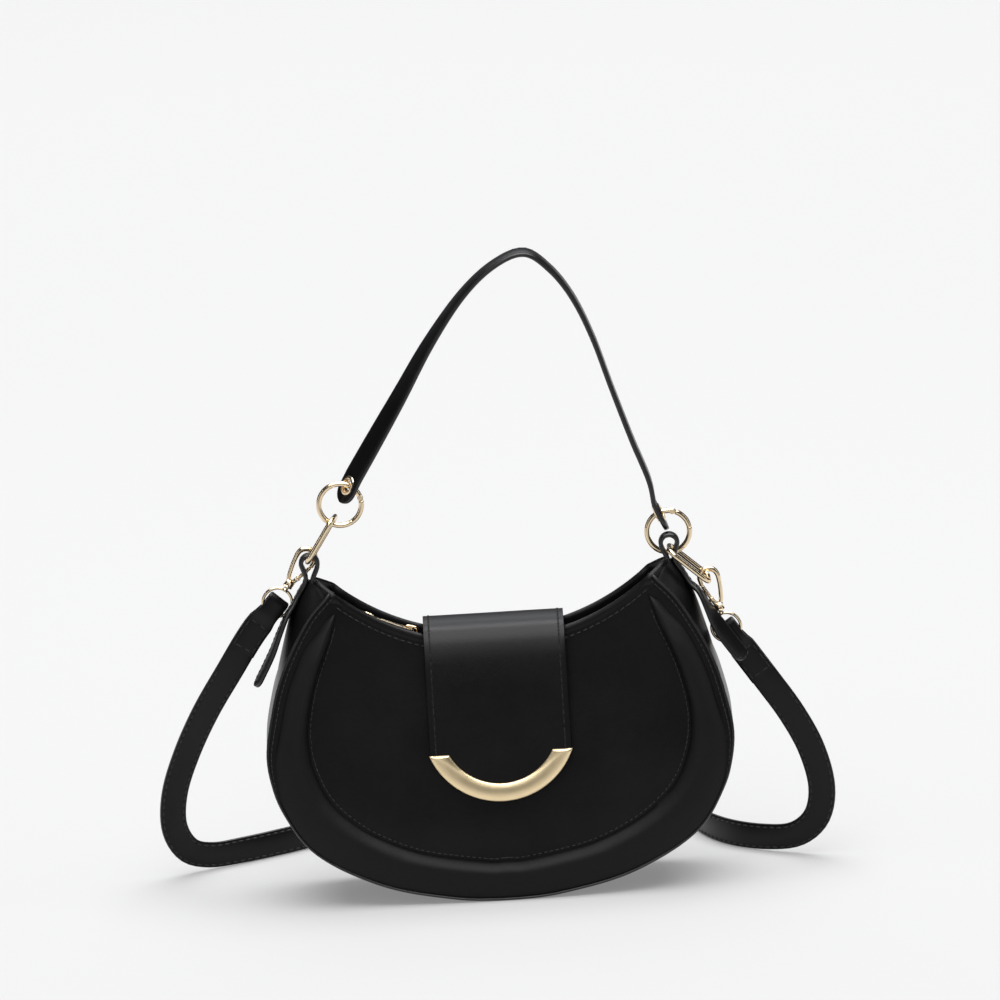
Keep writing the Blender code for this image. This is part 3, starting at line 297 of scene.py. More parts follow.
def addStitches(mesh, line, faces, pitch, size, material=0, holes=True, sink=0.25):
    # short thread lengths that dip at both ends; faces are the directions out of the leather
    lengths = lengthsOf(line)
    count = max(int(lengths[-1] / pitch), 1)
    step = lengths[-1] / count
    at = 0
    for k in range(count):
        middle = (k + 0.5) * step
        while at < len(line) - 2 and lengths[at + 1] < middle:
            at += 1
        share = (middle - lengths[at]) / max(lengths[at + 1] - lengths[at], 1e-9)
        spot = line[at].lerp(line[at + 1], share)
        run = (line[at + 1] - line[at]).normalized()
        up = faces[at].lerp(faces[at + 1], share).normalized()
        side = run.cross(up).normalized()
        rings = []
        for t, lift, wide in stitchShape:
            centre = spot + run * (step * 0.37 * t) + up * (size * (lift - sink))
            rings.append([centre + (side * cos(a) + up * sin(a) * 0.85) * size * wide for a in sixths])
        addRings(mesh, rings, material)
        # at both ends a near-black disc laid over the leather: painted shade standing in for the dark inside of
        # the stitch hole
        for end in (-1, 1) if holes else ():
            centre = spot + run * (step * 0.5 * end) + up * 0.00004
            ring = [mesh.verts.new(centre + (side * cos(a) + run * sin(a)) * size * 1.7) for a in sixths]
            mesh.faces.new(ring).material_index = material + 1


def stitchStrip(mesh, frames, size, edge, face, sink=0.25):
    # a row beside one edge of a strip, on one of its two faces
    lift = face * size["thick"] / 2
    addStitches(mesh, [p + s * (h - size["stitchIn"]) * edge + f * lift for p, s, f, h in frames],
                [f * face for p, s, f, h in frames], size["pitch"], size["threadSize"], 2, sink=sink)


def newObject(name, data):
    obj = bpy.data.objects.new(name, data)
    bpy.context.scene.collection.objects.link(obj)
    return obj


def meshObject(name, mesh, materials=()):
    data = bpy.data.meshes.new(name)
    mesh.to_mesh(data)
    mesh.free()
    for material in materials:
        data.materials.append(material)
    data.shade_smooth()
    return newObject(name, data)


def thicken(obj, thick, rim=0, share=0.0, segments=2, angle=60):
    # a sheet made solid towards the inside, with share of its thickness rounded off at its edges
    step = obj.modifiers.new("thickness", "SOLIDIFY")
    step.thickness = thick
    step.offset = -1.0
    step.material_offset_rim = rim
    if share:
        bevel = obj.modifiers.new("edge", "BEVEL")
        bevel.width = thick * share
        bevel.segments = segments
        bevel.limit_method = "ANGLE"
        bevel.angle_limit = radians(angle)


def claim(obj, body, nodes):
    # the piece rides on its body and stands for its nodes
    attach(obj, body)
    if nodes:
        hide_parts(*nodes)
    return obj


def setPiece(name, mesh, materials, body, slot, nodes=(), angle=40, welded=True):
    if welded:
        bmesh.ops.remove_doubles(mesh, verts=mesh.verts, dist=1e-7)
    bmesh.ops.recalc_face_normals(mesh, faces=mesh.faces)
    obj = meshObject(name, mesh, materials)
    obj.data.set_sharp_from_angle(angle=radians(angle))
    return claim(obj, body, nodes)


def goldPiece(name, mesh, body, node, **more):
    return setPiece(name, mesh, [paleGold], body, "pale_gold", [node], **more)


def sheetPiece(name, rows, thick, node, flip=False, fine=True):
    mesh = bmesh.new()
    addGrid(mesh, rows, flip)
    obj = meshObject(name, mesh, [leather, edgePaint])
    thicken(obj, thick, 1, 0.3)
    if fine:
        soft = obj.modifiers.new("fine", "SUBSURF")
        soft.levels = soft.render_levels = 1
    claim(obj, "shell", [node])


# Materials


def feed(tree, node, values):
    # a node's inputs: outputs of other nodes are linked, and the rest are plain values
    for key, value in values.items():
        if isinstance(value, bpy.types.NodeSocket):
            tree.links.new(value, node.inputs[key])
        else:
            node.inputs[key].default_value = value


def addNode(tree, kind, values, out=0, **settings):
    node = tree.nodes.new(kind)
    for key, value in settings.items():
        setattr(node, key, value)
    feed(tree, node, values)
    return node.outputs[out]


def newMaterial(name):
    material = bpy.data.materials.new(name)
    material.use_nodes = True
    return material, material.node_tree, material.node_tree.nodes["Principled BSDF"]


def spotOf(tree, shift=(0, 0, 0), turn=(0, 0, 0)):
    place = addNode(tree, "ShaderNodeTexCoord", {}, "Object")
    return addNode(tree, "ShaderNodeMapping", {"Vector": place, "Location": shift, "Rotation": turn})


def noiseAt(tree, spot, scale, detail=3.0, rough=0.55):
    values = {"Vector": spot, "Scale": scale, "Detail": detail, "Roughness": rough}
    return addNode(tree, "ShaderNodeTexNoise", values)


def ramped(tree, value, stops):
    ramp = tree.nodes.new("ShaderNodeValToRGB")
    line = ramp.color_ramp.elements
    while len(line) < len(stops):
        line.new(0.5)
    for element, (place, colour) in zip(line, stops):
        element.position = place
        element.color = (*colour, 1.0) if isinstance(colour, tuple) else (colour, colour, colour, 1.0)
    tree.links.new(value, ramp.inputs["Fac"])
    return ramp.outputs["Color"]


def bumped(tree, height, distance, strength, under=None):
    values = {"Height": height, "Distance": distance, "Strength": strength}
    return addNode(tree, "ShaderNodeBump", {**values, "Normal": under} if under else values)


def leatherLook(name, dark, light, rough, grain=1.0, coat=0.0, coatRough=0.2, crease=0.00025):
    # a cloudy black hide with fine pores over soft creases
    material, tree, shader = newMaterial(name)
    spot = spotOf(tree)
    wide, fine = noiseAt(tree, spot, 26.0, 4.0, 0.6), noiseAt(tree, spot, 420.0, 3.0, 0.6)
    pebble = addNode(tree, "ShaderNodeTexVoronoi", {"Vector": spot, "Scale": 1250.0})
    cloudy = addNode(tree, "ShaderNodeMath", {0: wide, 1: 0.16, 2: rough - 0.11}, operation="MULTIPLY_ADD")
    soft = bumped(tree, noiseAt(tree, spot, 34.0, 5.0, 0.55), crease, 0.6)
    pores = bumped(tree, pebble, 0.00006 * grain, 0.5, soft)
    feed(tree, shader, {
        "Base Color": ramped(tree, wide, ((0.3, dark), (0.72, light))),
        "Roughness": addNode(tree, "ShaderNodeMath", {0: fine, 1: 0.06, 2: cloudy}, operation="MULTIPLY_ADD"),
        "Normal": bumped(tree, fine, 0.00008 * grain, 0.6, pores),
        "Specular IOR Level": 0.22, "Coat Weight": coat, "Coat Roughness": coatRough})
    return material


def plainLook(name, colour, rough, scale, bump, coat=0.0):
    material, tree, shader = newMaterial(name)
    spot = spotOf(tree)
    value = noiseAt(tree, spot, scale, 4.0, 0.6)
    tones = [(place, tuple(c * share for c in colour)) for place, share in ((0.3, 0.88), (0.7, 1.12))]
    feed(tree, shader, {
        "Base Color": ramped(tree, value, tones),
        "Roughness": ramped(tree, noiseAt(tree, spot, scale * 0.2), ((0.3, rough * 0.85), (0.75, rough * 1.2))),
        "Normal": bumped(tree, value, bump, 0.5), "Coat Weight": coat})
    return material


def weaveLook(name, colour, rough, pitch, twill=0.0):
    # crossed threads from two wave textures, in object space
    material, tree, shader = newMaterial(name)
    waves = []
    for turn in ((0, 0, twill), (0, pi / 2, 0)):
        values = {"Vector": spotOf(tree, turn=turn), "Scale": 0.32 / pitch, "Distortion": 0.6, "Detail Scale": 4.0}
        waves.append(addNode(tree, "ShaderNodeTexWave", values, "Fac", wave_type="BANDS", bands_direction="X"))
    both = addNode(tree, "ShaderNodeMath", dict(enumerate(waves)), operation="MULTIPLY")
    feed(tree, shader, {
        "Base Color": ramped(tree, both, ((0.0, tuple(c * 0.45 for c in colour)), (0.8, colour))),
        "Normal": bumped(tree, both, pitch * 0.3, 0.8), "Roughness": rough, "Sheen Weight": 0.15})
    return material


def goldLook(name, colour, rough, brushed=None):
    # softly polished pale gold; brushed is the middle of its turned lines
    material, tree, shader = newMaterial(name)
    spot = spotOf(tree)
    cloud = noiseAt(tree, spot, 90.0, 4.0, 0.6)
    normal = bumped(tree, cloud, 0.000006, 0.3)
    if brushed:
        values = {"Vector": spotOf(tree, tuple(-c for c in brushed)), "Scale": 520.0, "Distortion": 0.4,
                  "Detail": 3.0, "Detail Scale": 0.6}
        wave = addNode(tree, "ShaderNodeTexWave", values, "Fac", wave_type="RINGS", rings_direction="SPHERICAL")
        normal = bumped(tree, wave, 0.000008, 0.5, normal)
    feed(tree, shader, {
        "Base Color": ramped(tree, cloud, ((0.3, tuple(c * 0.93 for c in colour)), (0.7, colour))),
        "Roughness": ramped(tree, noiseAt(tree, spot, 40.0), ((0.3, rough * 0.8), (0.75, rough * 1.25))),
        "Normal": normal, "Metallic": 1.0, "Anisotropic": 0.4 if brushed else 0.0})
    return material


hide = (0.0017, 0.0016, 0.002), (0.0028, 0.0027, 0.0032)
leather = leatherLook("SmoothLeather", *hide, 0.36, coat=0.03, coatRough=0.3)
rollLeather = leatherLook("RollLeather", *hide, 0.55, coatRough=0.3)
strapLeather = leatherLook("StrapLeather", (0.0013, 0.0012, 0.0015), (0.0022, 0.0021, 0.0026), 0.33, 0.6,
                           crease=0.00008)
edgePaint = plainLook("EdgePaint", (0.005, 0.0048, 0.0052), 0.34, 300.0, 0.00005, 0.2)
thread = plainLook("Thread", (0.005, 0.005, 0.0055), 0.55, 2600.0, 0.00006)
# the flap's thread: the same black thread made rougher, and made darker as painted shade of the stitches sunk into
# the flap
shadedFlapThread = plainLook("ShadedFlapThread", (0.0015, 0.0015, 0.002), 0.85, 2600.0, 0.00006)
# near-black discs laid over the stitch holes: painted shade of the holes' dark insides
paintedHoleShade = plainLook("PaintedHoleShade", (0.001, 0.001, 0.001), 0.9, 500.0, 0.00001)
liningCloth = weaveLook("LiningCloth", (0.012, 0.012, 0.013), 0.8, 0.0009, 0.6)
tapeCloth = weaveLook("TapeCloth", (0.016, 0.016, 0.018), 0.75, 0.0007)
teethPlastic = plainLook("TeethPlastic", (0.012, 0.012, 0.013), 0.35, 800.0, 0.00002)
paleGold = goldLook("PaleGold", (0.86, 0.7, 0.48), 0.17)
stitchedStrap = [strapLeather, edgePaint, thread, paintedHoleShade]

# Camera and studio
view = dict(target=(0.0076, 0.0, 0.2136), lift=13.0, roll=3.4, away=8.0, wide=0.54)
camera = newObject("Camera", bpy.data.cameras.new("Camera"))
camera.data.sensor_width = 36.0
camera.data.lens = camera.data.sensor_width * view["away"] / view["wide"]
camera.data.clip_end = 20.0
lift = radians(view["lift"])
sight = Vector((0.0, cos(lift), -sin(lift)))
camera.matrix_world = (Matrix.Translation(Vector(view["target"]) - sight * view["away"])
                       @ sight.to_track_quat("-Z", "Y").to_matrix().to_4x4()
                       @ Matrix.Rotation(radians(-view["roll"]), 4, "Z"))
bpy.context.scene.camera = camera
bpy.context.scene.view_settings.view_transform = "Standard"

# the paper floor glows a little behind and under the bag and falls off towards the front
studio = dict(reach=16.0, level=-0.0002, near=-1.4, far=3.0, glow=0.33, world=0.05, sun=4.7)
floorLook, tree, shader = newMaterial("StudioPaper")
depth = addNode(tree, "ShaderNodeSeparateXYZ", {0: spotOf(tree)}, "Y")
fall = addNode(tree, "ShaderNodeMapRange",
               {"Value": depth, "From Min": studio["near"], "From Max": studio["far"]})
for socket, low, middle, far in (("Base Color", 0.17, 0.365, 0.365), ("Emission Color", 0.34, 0.68, 0.8)):
    feed(tree, shader, {socket: ramped(tree, fall, ((0.0, low), (0.25, middle), (0.36, middle), (1.0, far)))})
feed(tree, shader, {"Normal": bumped(tree, noiseAt(tree, spotOf(tree), 300.0), 0.0001, 0.2), "Roughness": 0.9,
                    "Specular IOR Level": 0.0, "Emission Strength": studio["glow"]})
floorMesh = bmesh.new()
ends = (-studio["reach"], studio["reach"])
addGrid(floorMesh, [[Vector((x, y, studio["level"])) for x in ends] for y in ends])
meshObject("Floor", floorMesh, [floorLook])

world = bpy.data.worlds.new("Studio")
bpy.context.scene.world = world
world.use_nodes = True
feed(world.node_tree, world.node_tree.nodes["Background"],
     {"Color": (0.93, 0.95, 1.0, 1.0), "Strength": studio["world"]})


def addLamp(name, kind, place, way, energy, **settings):
    lamp = newObject(name, bpy.data.lights.new(name, kind))
    lamp.location = place
    lamp.rotation_euler = way.to_track_quat("-Z", "Y").to_euler()
    lamp.data.energy = energy
    for key, value in settings.items():
        setattr(lamp.data, key, value)


addLamp("SoftSun", "SUN", (0.0, 0.0, 0.0), Vector((-0.04, 0.12, -1.0)), studio["sun"], angle=radians(70))
for name, place, aim, size, power, colour in (
        ("TopLight", (0.1, 0.55, 1.5), 0.15, (1.1, 0.5), 5.0, (0.93, 0.95, 1.0)),
        ("LeftLight", (-1.7, -0.7, 0.7), 0.18, (0.25, 1.2), 2.4, (1.0, 0.98, 0.95)),
        ("RightLight", (1.7, -0.5, 0.8), 0.18, (0.3, 1.2), 2.6, (1.0, 0.99, 0.97)),
        ("BackLight", (0.0, 2.5, 2.1), 0.15, (2.6, 1.7), 20.0, (0.95, 0.97, 1.0)),
        ("FrontLight", (-0.3, -2.5, 1.75), 0.18, (1.6, 1.4), 14.0, (1.0, 1.0, 1.0))):
    addLamp(name, "AREA", place, axisZ * aim - Vector(place), power, shape="RECTANGLE", size=size[0],
            size_y=size[1], color=colour)

# Places of the fittings, as the model has them, left then right
sides = dict(
    left=dict(sign=-1, loop=(-0.09738, 0.0, 0.18463), held=(-0.09738, 0.0, 0.18633), linkWay=57.0,
              ring=(-0.07876, 0.0, 0.21629), eyelet=61.0, hinge=16.0, free=-58.0, twist=32.0,
              eye=(-0.11591, 0.0054, 0.16294), up=(0.5807, 0.0, 0.81412), across=(-0.81412, 0.0, 0.5807)),
    right=dict(sign=1, loop=(0.09738, 0.0, 0.18463), held=(0.09738, 0.0, 0.18143), linkWay=-42.0,
               ring=(0.09738, 0.0054, 0.18953), eyelet=113.0, hinge=76.0, free=8.0, twist=0.0,
               eye=(0.12581, 0.0052, 0.13458), up=(-0.27564, 0.0, 0.96126), across=(0.96126, 0.0, 0.27564)))

# Crossbody strap from the left eye to the right: x, y, z of its middle line, then the direction of its width
strapSizes = dict(wide=0.0148, thick=0.002, gap=0.0012, fold=0.034, layer=0.0023, pinch=0.8, eyeRadius=0.0079,
                  stitchIn=0.0017, pitch=0.0045, threadSize=0.00042, floor=0.0076)
strapLeft = (
    (-0.13, 0.008, 0.147, 0.87, 0.02, -0.48), (-0.144, 0.011, 0.1255, 0.87, 0.04, -0.48),
    (-0.159, 0.022, 0.1, 0.88, 0.1, -0.43), (-0.171, 0.035, 0.074, 0.92, 0.18, -0.3),
    (-0.179, 0.045, 0.05, 0.93, 0.25, -0.1), (-0.1805, 0.053, 0.029, 0.82, 0.2, 0.35),
    (-0.174, 0.061, 0.014, 0.52, 0.0, 0.78), (-0.162, 0.068, 0.0085, 0.22, -0.08, 0.96),
    (-0.145, 0.078, 0.0076, 0.06, -0.05, 1.0))
# x and y only, where it stands on its edge in folds on the floor
strapFloor = (
    (-0.123, 0.092), (-0.098, 0.11), (-0.064, 0.129), (-0.025, 0.139), (0.015, 0.142), (0.047, 0.144),
    (0.066, 0.154), (0.066, 0.174), (0.047, 0.185), (0.015, 0.186), (-0.02, 0.187), (-0.04, 0.199),
    (-0.039, 0.218), (-0.02, 0.229), (0.015, 0.229), (0.055, 0.224), (0.085, 0.202), (0.098, 0.162),
    (0.101, 0.118), (0.108, 0.082))
strapRight = (
    (0.122, 0.055, 0.0076, -0.02, 0.0, 1.0), (0.141, 0.038, 0.008, -0.12, -0.05, 0.98),
    (0.158, 0.028, 0.011, -0.42, -0.05, 0.86), (0.1695, 0.021, 0.022, -0.76, 0.05, 0.56),
    (0.173, 0.016, 0.04, -0.93, 0.1, 0.16), (0.1685, 0.013, 0.062, -0.93, 0.05, -0.2),
    (0.159, 0.01, 0.083, -0.89, 0.02, -0.4), (0.146, 0.008, 0.104, -0.87, 0.0, -0.49))
strapRoute = [*strapLeft, *((x, y, strapSizes["floor"], 0.0, 0.0, 1.0) for x, y in strapFloor), *strapRight]

def strapFold(side, runLine):
    # the strap's end, folded round its eye
    size = strapSizes
    run = along(runLine, 0.05) - runLine[0]
    run.y = 0.0
    run.normalize()
    bend = size["gap"] + size["thick"] / 2
    points = []
    for k in range(26):
        away = (1.0 - k / 26) * size["fold"]
        near = ease((away - size["eyeRadius"]) / size["eyeRadius"])
        points.append(along(runLine, away) - axisY * (2 * bend + (size["layer"] - 2 * bend) * near))
    for turn in [pi * k / 12 for k in range(12)]:
        points.append(Vector(side["eye"]) - run * (bend * sin(turn)) - axisY * (bend * cos(turn)))
    return points


def makeStrap():
    size = strapSizes
    bend = size["gap"] + size["thick"] / 2
    # the widths run along with the points, made tiny so that they don't change the even steps
    tiny = 0.0001
    route = [Vector((*p[:3], *(c * tiny for c in p[3:]))) for p in strapRoute]
    for side, place, near in (("left", 0, strapRoute[0]), ("right", len(route) + 1, strapRoute[-1])):
        top = Vector(sides[side]["eye"]) + axisY * bend
        wide = (Vector(near[:3]) - top).normalized().cross(axisY)
        wide *= copysign(tiny, wide.dot(Vector(near[3:])))
        route.insert(place, Vector((*top, *wide)))
    curve = smoothLine(route, 300)
    line = [Vector(p[:3]) for p in curve]
    turns = [Vector(p[3:6]).normalized() for p in curve]
    left = strapFold(sides["left"], line)
    right = strapFold(sides["right"], line[::-1])
    points = left + line + right[::-1]
    widths = [turns[0]] * len(left) + turns + [turns[-1]] * len(right)
    halves = []
    for p in points:
        near = min((p - Vector(side["eye"])).length for side in sides.values())
        pinch = ease((near - size["eyeRadius"]) / size["eyeRadius"])
        halves.append(size["wide"] / 2 * (size["pinch"] + (1 - size["pinch"]) * pinch))
    mesh = bmesh.new()
    frames = addStrip(mesh, points, widths, halves, size["thick"])
    # edge stitching on both faces of the long run, and across the folded ends
    for edge in (-1, 1):
        for face in (-1, 1):
            stitchStrip(mesh, frames[len(left) + 14:-len(right) - 14], size, edge, face)
    for rows in (frames[1:15], frames[-15:-1][::-1]):
        front = -1 if rows[5][2].y > 0 else 1
        for edge in (-1, 1):
            stitchStrip(mesh, rows, size, edge, front)
        for p, s, f, h in (rows[1], rows[-1]):
            row = [p + s * (h - size["stitchIn"]) * t + f * (front * size["thick"] / 2)
                   for t in (-1.0, -0.5, 0.0, 0.5, 1.0)]
            addStitches(mesh, row, [f * front] * 5, size["pitch"], size["threadSize"], 2)
    piece = setPiece("StrapRibbon", mesh, stitchedStrap, "shell", "leather", ["strap"])


makeStrap()
print("strap made")

# Bag body
body = dict(binding=0.0017, liningInset=0.0021, liningEase=0.0036, lining=0.0008, rollHeight=0.0052,
            rollMargin=0.0016, topMargin=0.0046, rollEnd=0.955, rimStitch=0.0062, seamThread=0.00034,
            seamPitch=0.0031, rimPitch=0.0038, paint=0.0008)
rollShares = ((0.0, 0.13), (0.09, 0.1315), (0.35, 0.168), (0.542, 0.229), (0.67, 0.298), (0.75, 0.37), (0.8, 0.46),
              (0.817, 0.54), (0.811, 0.62), (0.772, 0.741), (0.7, 0.88), (0.664, 0.968))
innerLine = smoothLine([(bag["halfWide"] * a, mouthZ * b) for a, b in rollShares], 90)
edgeDrop = body["binding"] * 2 + 0.0006


def pressed(p, face):
    # soft hand-pressed waves and the sink beside the roll, so that the panel isn't a perfect plate
    wave = noise.noise(Vector((p.x * 17 + 3.1 * face, 0.0, p.z * 21))) * 0.0012
    under = ease((p.z - 0.01) / 0.02) * ease((mouthZ * 0.97 - p.z) / 0.02)
    return Vector((p.x, p.y - face * (0.0004 + wave) * under, p.z))


def onPanel(line, face, lift):
    # points x, z laid on the pressed panel
    return [pressed(Vector((q.x, face * halfDepth(q.x, q.y), q.y)), face) + axisY * (face * lift) for q in line]


def makeBody():
    for name, face in (("Front", -1), ("Back", 1)):
        rows = [[pressed(p, face) for p in row] for row in panelRows(face, 0.0, edgeDrop, 60)]
        sheetPiece(name + "Panel", rows, bag["leather"], name.lower() + "_panel", face > 0)
    rows = gussetRows(0.0, edgeDrop, bag["leather"] + 0.0003, 36, 12)
    sheetPiece("Gusset", rows, bag["gusset"], "gusset", fine=False)
    inset, pull = body["liningInset"], body["liningEase"]
    mesh = bmesh.new()
    addGrid(mesh, panelRows(-1, inset, edgeDrop, 30, pull))
    addGrid(mesh, panelRows(1, inset, edgeDrop, 30, pull), True)
    addGrid(mesh, gussetRows(inset, edgeDrop, inset, 12, 30, pull))
    lining = setPiece("LiningPocket", mesh, [liningCloth], "shell", "lining_cloth", ["lining"])
    thicken(lining, body["lining"])


def rollShape(t, swell):
    # across the roll: it rises steeply from its inner seam and falls slowly to the outer one
    if t < 0.3:
        return 0.0003 + swell * sin(pi / 2 * t / 0.3) ** 0.75
    return 0.0003 + swell * cos(pi / 2 * (t - 0.3) / 0.7) ** 0.9


def makeRoll():
    side = sideLine(0.0, 0.002)
    flange = [(p, o, body["rollMargin"] + body["topMargin"] * ease((p.y - 0.045) / 0.06))
              for p, o in zip(side, seamOut)]
    outer = evenSteps([Vector((0.0, body["rollMargin"]))]
                      + [p - o * m for p, o, m in flange if p.y < body["rollEnd"] * mouthZ], 90)
    right = list(zip(innerLine, outer))
    pairs = [(Vector((-a.x, a.y)), Vector((-b.x, b.y))) for a, b in right[:0:-1]] + right
    mesh = bmesh.new()
    rings = []
    for i, (a, b) in enumerate(pairs):
        near = min(i, len(pairs) - 1 - i) / 90
        b = a.lerp(b, 0.55 + 0.45 * ease(near / 0.06))
        swell = body["rollHeight"] * min(1.0, 0.04 + 9 * near) ** 0.5
        swell *= 1 + 0.06 * noise.noise(Vector((i * 0.11, 3.0, 1.0)))
        ring = []
        for k in range(25):
            spot = a.lerp(b, k / 24)
            crease = 0.0002 * noise.noise(Vector((spot.x * 90, spot.y * 90, 5.0)))
            ring.append((spot, rollShape(k / 24, swell) + crease))
        ring += [(a.lerp(b, k / 24), -0.001) for k in range(23, 0, -2)]
        rings.append([Vector((p.x, -halfDepth(p.x, p.y) - rise, p.y)) for p, rise in ring])
    addRings(mesh, rings)
    # dark stitches beside the inner seam and on the flange, whose painted edge stands up a little
    inSeam = [a.lerp(b, -0.07) for a, b in pairs[89:-4]]
    outSeam = [p - o * (m * 0.52) for p, o, m in flange if p.y > 0.05]
    for sign in (-1, 1):
        for seamLine in (inSeam, outSeam):
            line = onPanel([Vector((q.x * sign, q.y)) for q in seamLine], -1, 0.0002)
            addStitches(mesh, line, [-axisY] * len(line), body["seamPitch"], body["seamThread"], 1)
    edge = [p - o * 0.0007 for p, o, m in flange]
    line = onPanel([Vector((-p.x, p.y)) for p in edge[::-1]] + edge, -1, 0.0)
    addTube(mesh, line, body["paint"], sides=10, material=3)
    roll = setPiece("PaddedRoll", mesh, [rollLeather, thread, paintedHoleShade, edgePaint], "shell", "leather",
                    ["front_border"], angle=70)


makeBody()
makeRoll()
print("body made")


def rimLine(face):
    # from one folded corner's ridge along the mouth to the other one's
    inset = (body["liningInset"] + body["lining"]) / 2
    rows = gussetRows(inset, edgeDrop, inset, 12, 12, body["liningEase"] / 2)
    ends = []
    for row in (rows[0], rows[-1]):
        half = row[:7] if face < 0 else row[:5:-1]
        ends.append([p + axisZ * (body["binding"] + 0.0006) for p in half[::-1]])
        ends[-1][0].y = face * (body["binding"] + 0.0002)
    reach = -ends[0][-1].x
    middle = [Vector((x, face * (bag["halfRim"] - inset), rimZ(x) - body["binding"]))
              for x in [reach * (k / 20 - 1) for k in range(1, 40)]]
    return smoothLine(ends[0] + middle + ends[1][::-1], 150)


# Leather folded over the edge, (out, up) in its own half thickness, its lower lip open
rimProfile = ((1.04, -1.9), (1.12, -1.2), (1.08, -0.3), (0.92, 0.45), (0.55, 0.92), (0.0, 1.06), (-0.55, 0.92),
              (-0.92, 0.45), (-1.0, -0.3), (-1.0, -1.2), (-0.9, -1.9), (0.0, -1.95))


def makeRim(name, face):
    line = rimLine(face)
    mesh = bmesh.new()
    rings = []
    r = body["binding"]
    for point, run in zip(line, runsOf(line)):
        mix = ease((abs(point.x) - bag["halfMouth"] + 0.003) / 0.009)
        out = (axisY * face).lerp(Vector((copysign(0.9, point.x), face * 0.45, 0)), mix)
        out = (out - run * out.dot(run)).normalized()
        up = out.cross(run)
        up *= copysign(1.0, up.z)
        wave = 1 + 0.05 * noise.noise(point * 130)
        rings.append([point + out * (a * r * wave) + up * (b * r) for a, b in rimProfile])
    addRings(mesh, rings)
    places = [(bag["halfMouth"] - 0.004) * (k / 50 - 1) for k in range(101)]
    row = onPanel([Vector((x, rimZ(x) - body["rimStitch"])) for x in places], face, 0.0002)
    addStitches(mesh, row, [axisY * face] * len(row), body["rimPitch"], body["seamThread"], 1)
    setPiece(name + "Rim", mesh, [leather, thread, paintedHoleShade], "shell", "leather", [name.lower() + "_rim"],
             angle=80)


makeRim("Front", -1)
makeRim("Back", 1)
print("rims made")

# Flap
flap = dict(wide=0.076, lining=0.001, stand=0.0042, crest=0.0078, low=0.056, round=0.0405, straight=0.84,
            gap=0.0003, base=0.034, stitchIn=0.003, pitch=0.0043, threadSize=0.00042, softening=18)


def flapPath():
    # y, z of the flap's inside from the back rim over the mouth and down the front
    gap, rim, crest, mouth = flap["gap"], bag["rimLow"], flap["crest"], bag["halfRim"]
    back = mouth + 3 * gap
    front = mouth + flap["lining"] + 2 * body["binding"]
    low = Vector((-halfDepth(0.0, flap["low"]) - flap["stand"], flap["low"]))
    knee = flap["straight"] * rim
    points = [(back + gap, rim - gap), (back, rim + crest * 0.5), (mouth * 0.72, rim + crest * 0.95),
              (0.0, rim + crest), (-mouth * 0.76, rim + crest * 0.88),
              (-front * 0.9 - 0.0006, rim + crest * 0.4), (-front - 0.003, rim - crest * 0.6),
              (-halfDepth(0.0, knee) - flap["stand"] - 0.0025, knee)]
    curve = smoothLine(points, 60)
    line = evenSteps(curve[:-1] + [curve[-1].lerp(low, k / 20) for k in range(21)], 110)
    for turn in range(flap["softening"]):
        line = line[:1] + [(a + 2 * b + c) / 4 for a, b, c in zip(line, line[1:], line[2:])] + line[-1:]
    return line


flapLine = flapPath()
flapTotal = lengthsOf(flapLine)[-1]
flapLift = flap["lining"] + flap["gap"] + bag["leather"]


def flapSpot(x, share, stand):
    # a point of the flap, share running from the back rim to its round end
    drop = flap["round"] - sqrt(max(flap["round"] ** 2 - x * x, 0.0))
    distance = share * (flapTotal - drop * share ** 3)
    run = (along(flapLine, distance + 0.0018) - along(flapLine, max(distance - 0.0018, 0.0))).normalized()
    spot = along(flapLine, distance) + Vector((run.y, -run.x)) * stand
    sag = 0.0005 * noise.noise(Vector((x * 24, distance * 22, 9.0))) * ease(distance / 0.02)
    return Vector((x, spot.x - sag, spot.y)), Vector((0.0, run.y, -run.x))


def flapLayer(name, node, stand, thick, half):
    mesh = bmesh.new()
    addGrid(mesh, [[flapSpot(half * (k / 15 - 1), i / 90, stand)[0] for k in range(31)] for i in range(91)])
    bmesh.ops.recalc_face_normals(mesh, faces=mesh.faces)
    if sum(f.normal.y for f in mesh.faces if f.calc_center_median().z < 0.09) > 0:
        bmesh.ops.reverse_faces(mesh, faces=mesh.faces)
    obj = meshObject(name, mesh, [leather, edgePaint])
    thicken(obj, thick, 1, 0.35, 3, 50)
    claim(obj, "flap", [node])


def makeFlap():
    half = flap["wide"] / 2
    stitch = flap["pitch"], flap["threadSize"]
    flapLayer("FlapLeather", "flap_leather", flapLift, bag["leather"], half)
    flapLayer("FlapLining", "flap_lining", flap["lining"], flap["lining"], half - 0.0006)
    mesh = bmesh.new()
    for side in (-1, 1):
        rows = [flapSpot(side * (half - flap["stitchIn"]), 0.02 + 0.9 * i / 120, flapLift) for i in range(121)]
        addStitches(mesh, [p for p, n in rows], [n for p, n in rows], *stitch)
    # the flap's stitches take the darker thread, whose extra darkness is painted shade of their sunken dimples
    setPiece("FlapStitches", mesh, [shadedFlapThread, paintedHoleShade], "flap", "leather")
    # the base sewn to the back panel
    start = flapLine[0]
    rows = []
    for i in range(13):
        z = start.y - 2 * flap["gap"] - flap["base"] * i / 12
        least = start.x + bag["leather"] + flap["gap"] if i == 0 else 0.0
        rows.append([Vector((x, max(halfDepth(x, z) + 2 * flap["gap"] + bag["leather"], least), z))
                     for x in [half * (k / 10 - 1) for k in range(21)]])
    sheetPiece("FlapBase", rows, bag["leather"], "flap_base", fine=False)
    mesh = bmesh.new()
    loop = [rows[i][1] for i in range(12)] + rows[11][1:20] + [rows[i][19] for i in range(11, -1, -1)]
    addStitches(mesh, [p + axisY * 0.0002 for p in loop], [axisY] * len(loop), *stitch)
    setPiece("FlapBaseStitches", mesh, [thread, paintedHoleShade], "shell", "leather")


makeFlap()

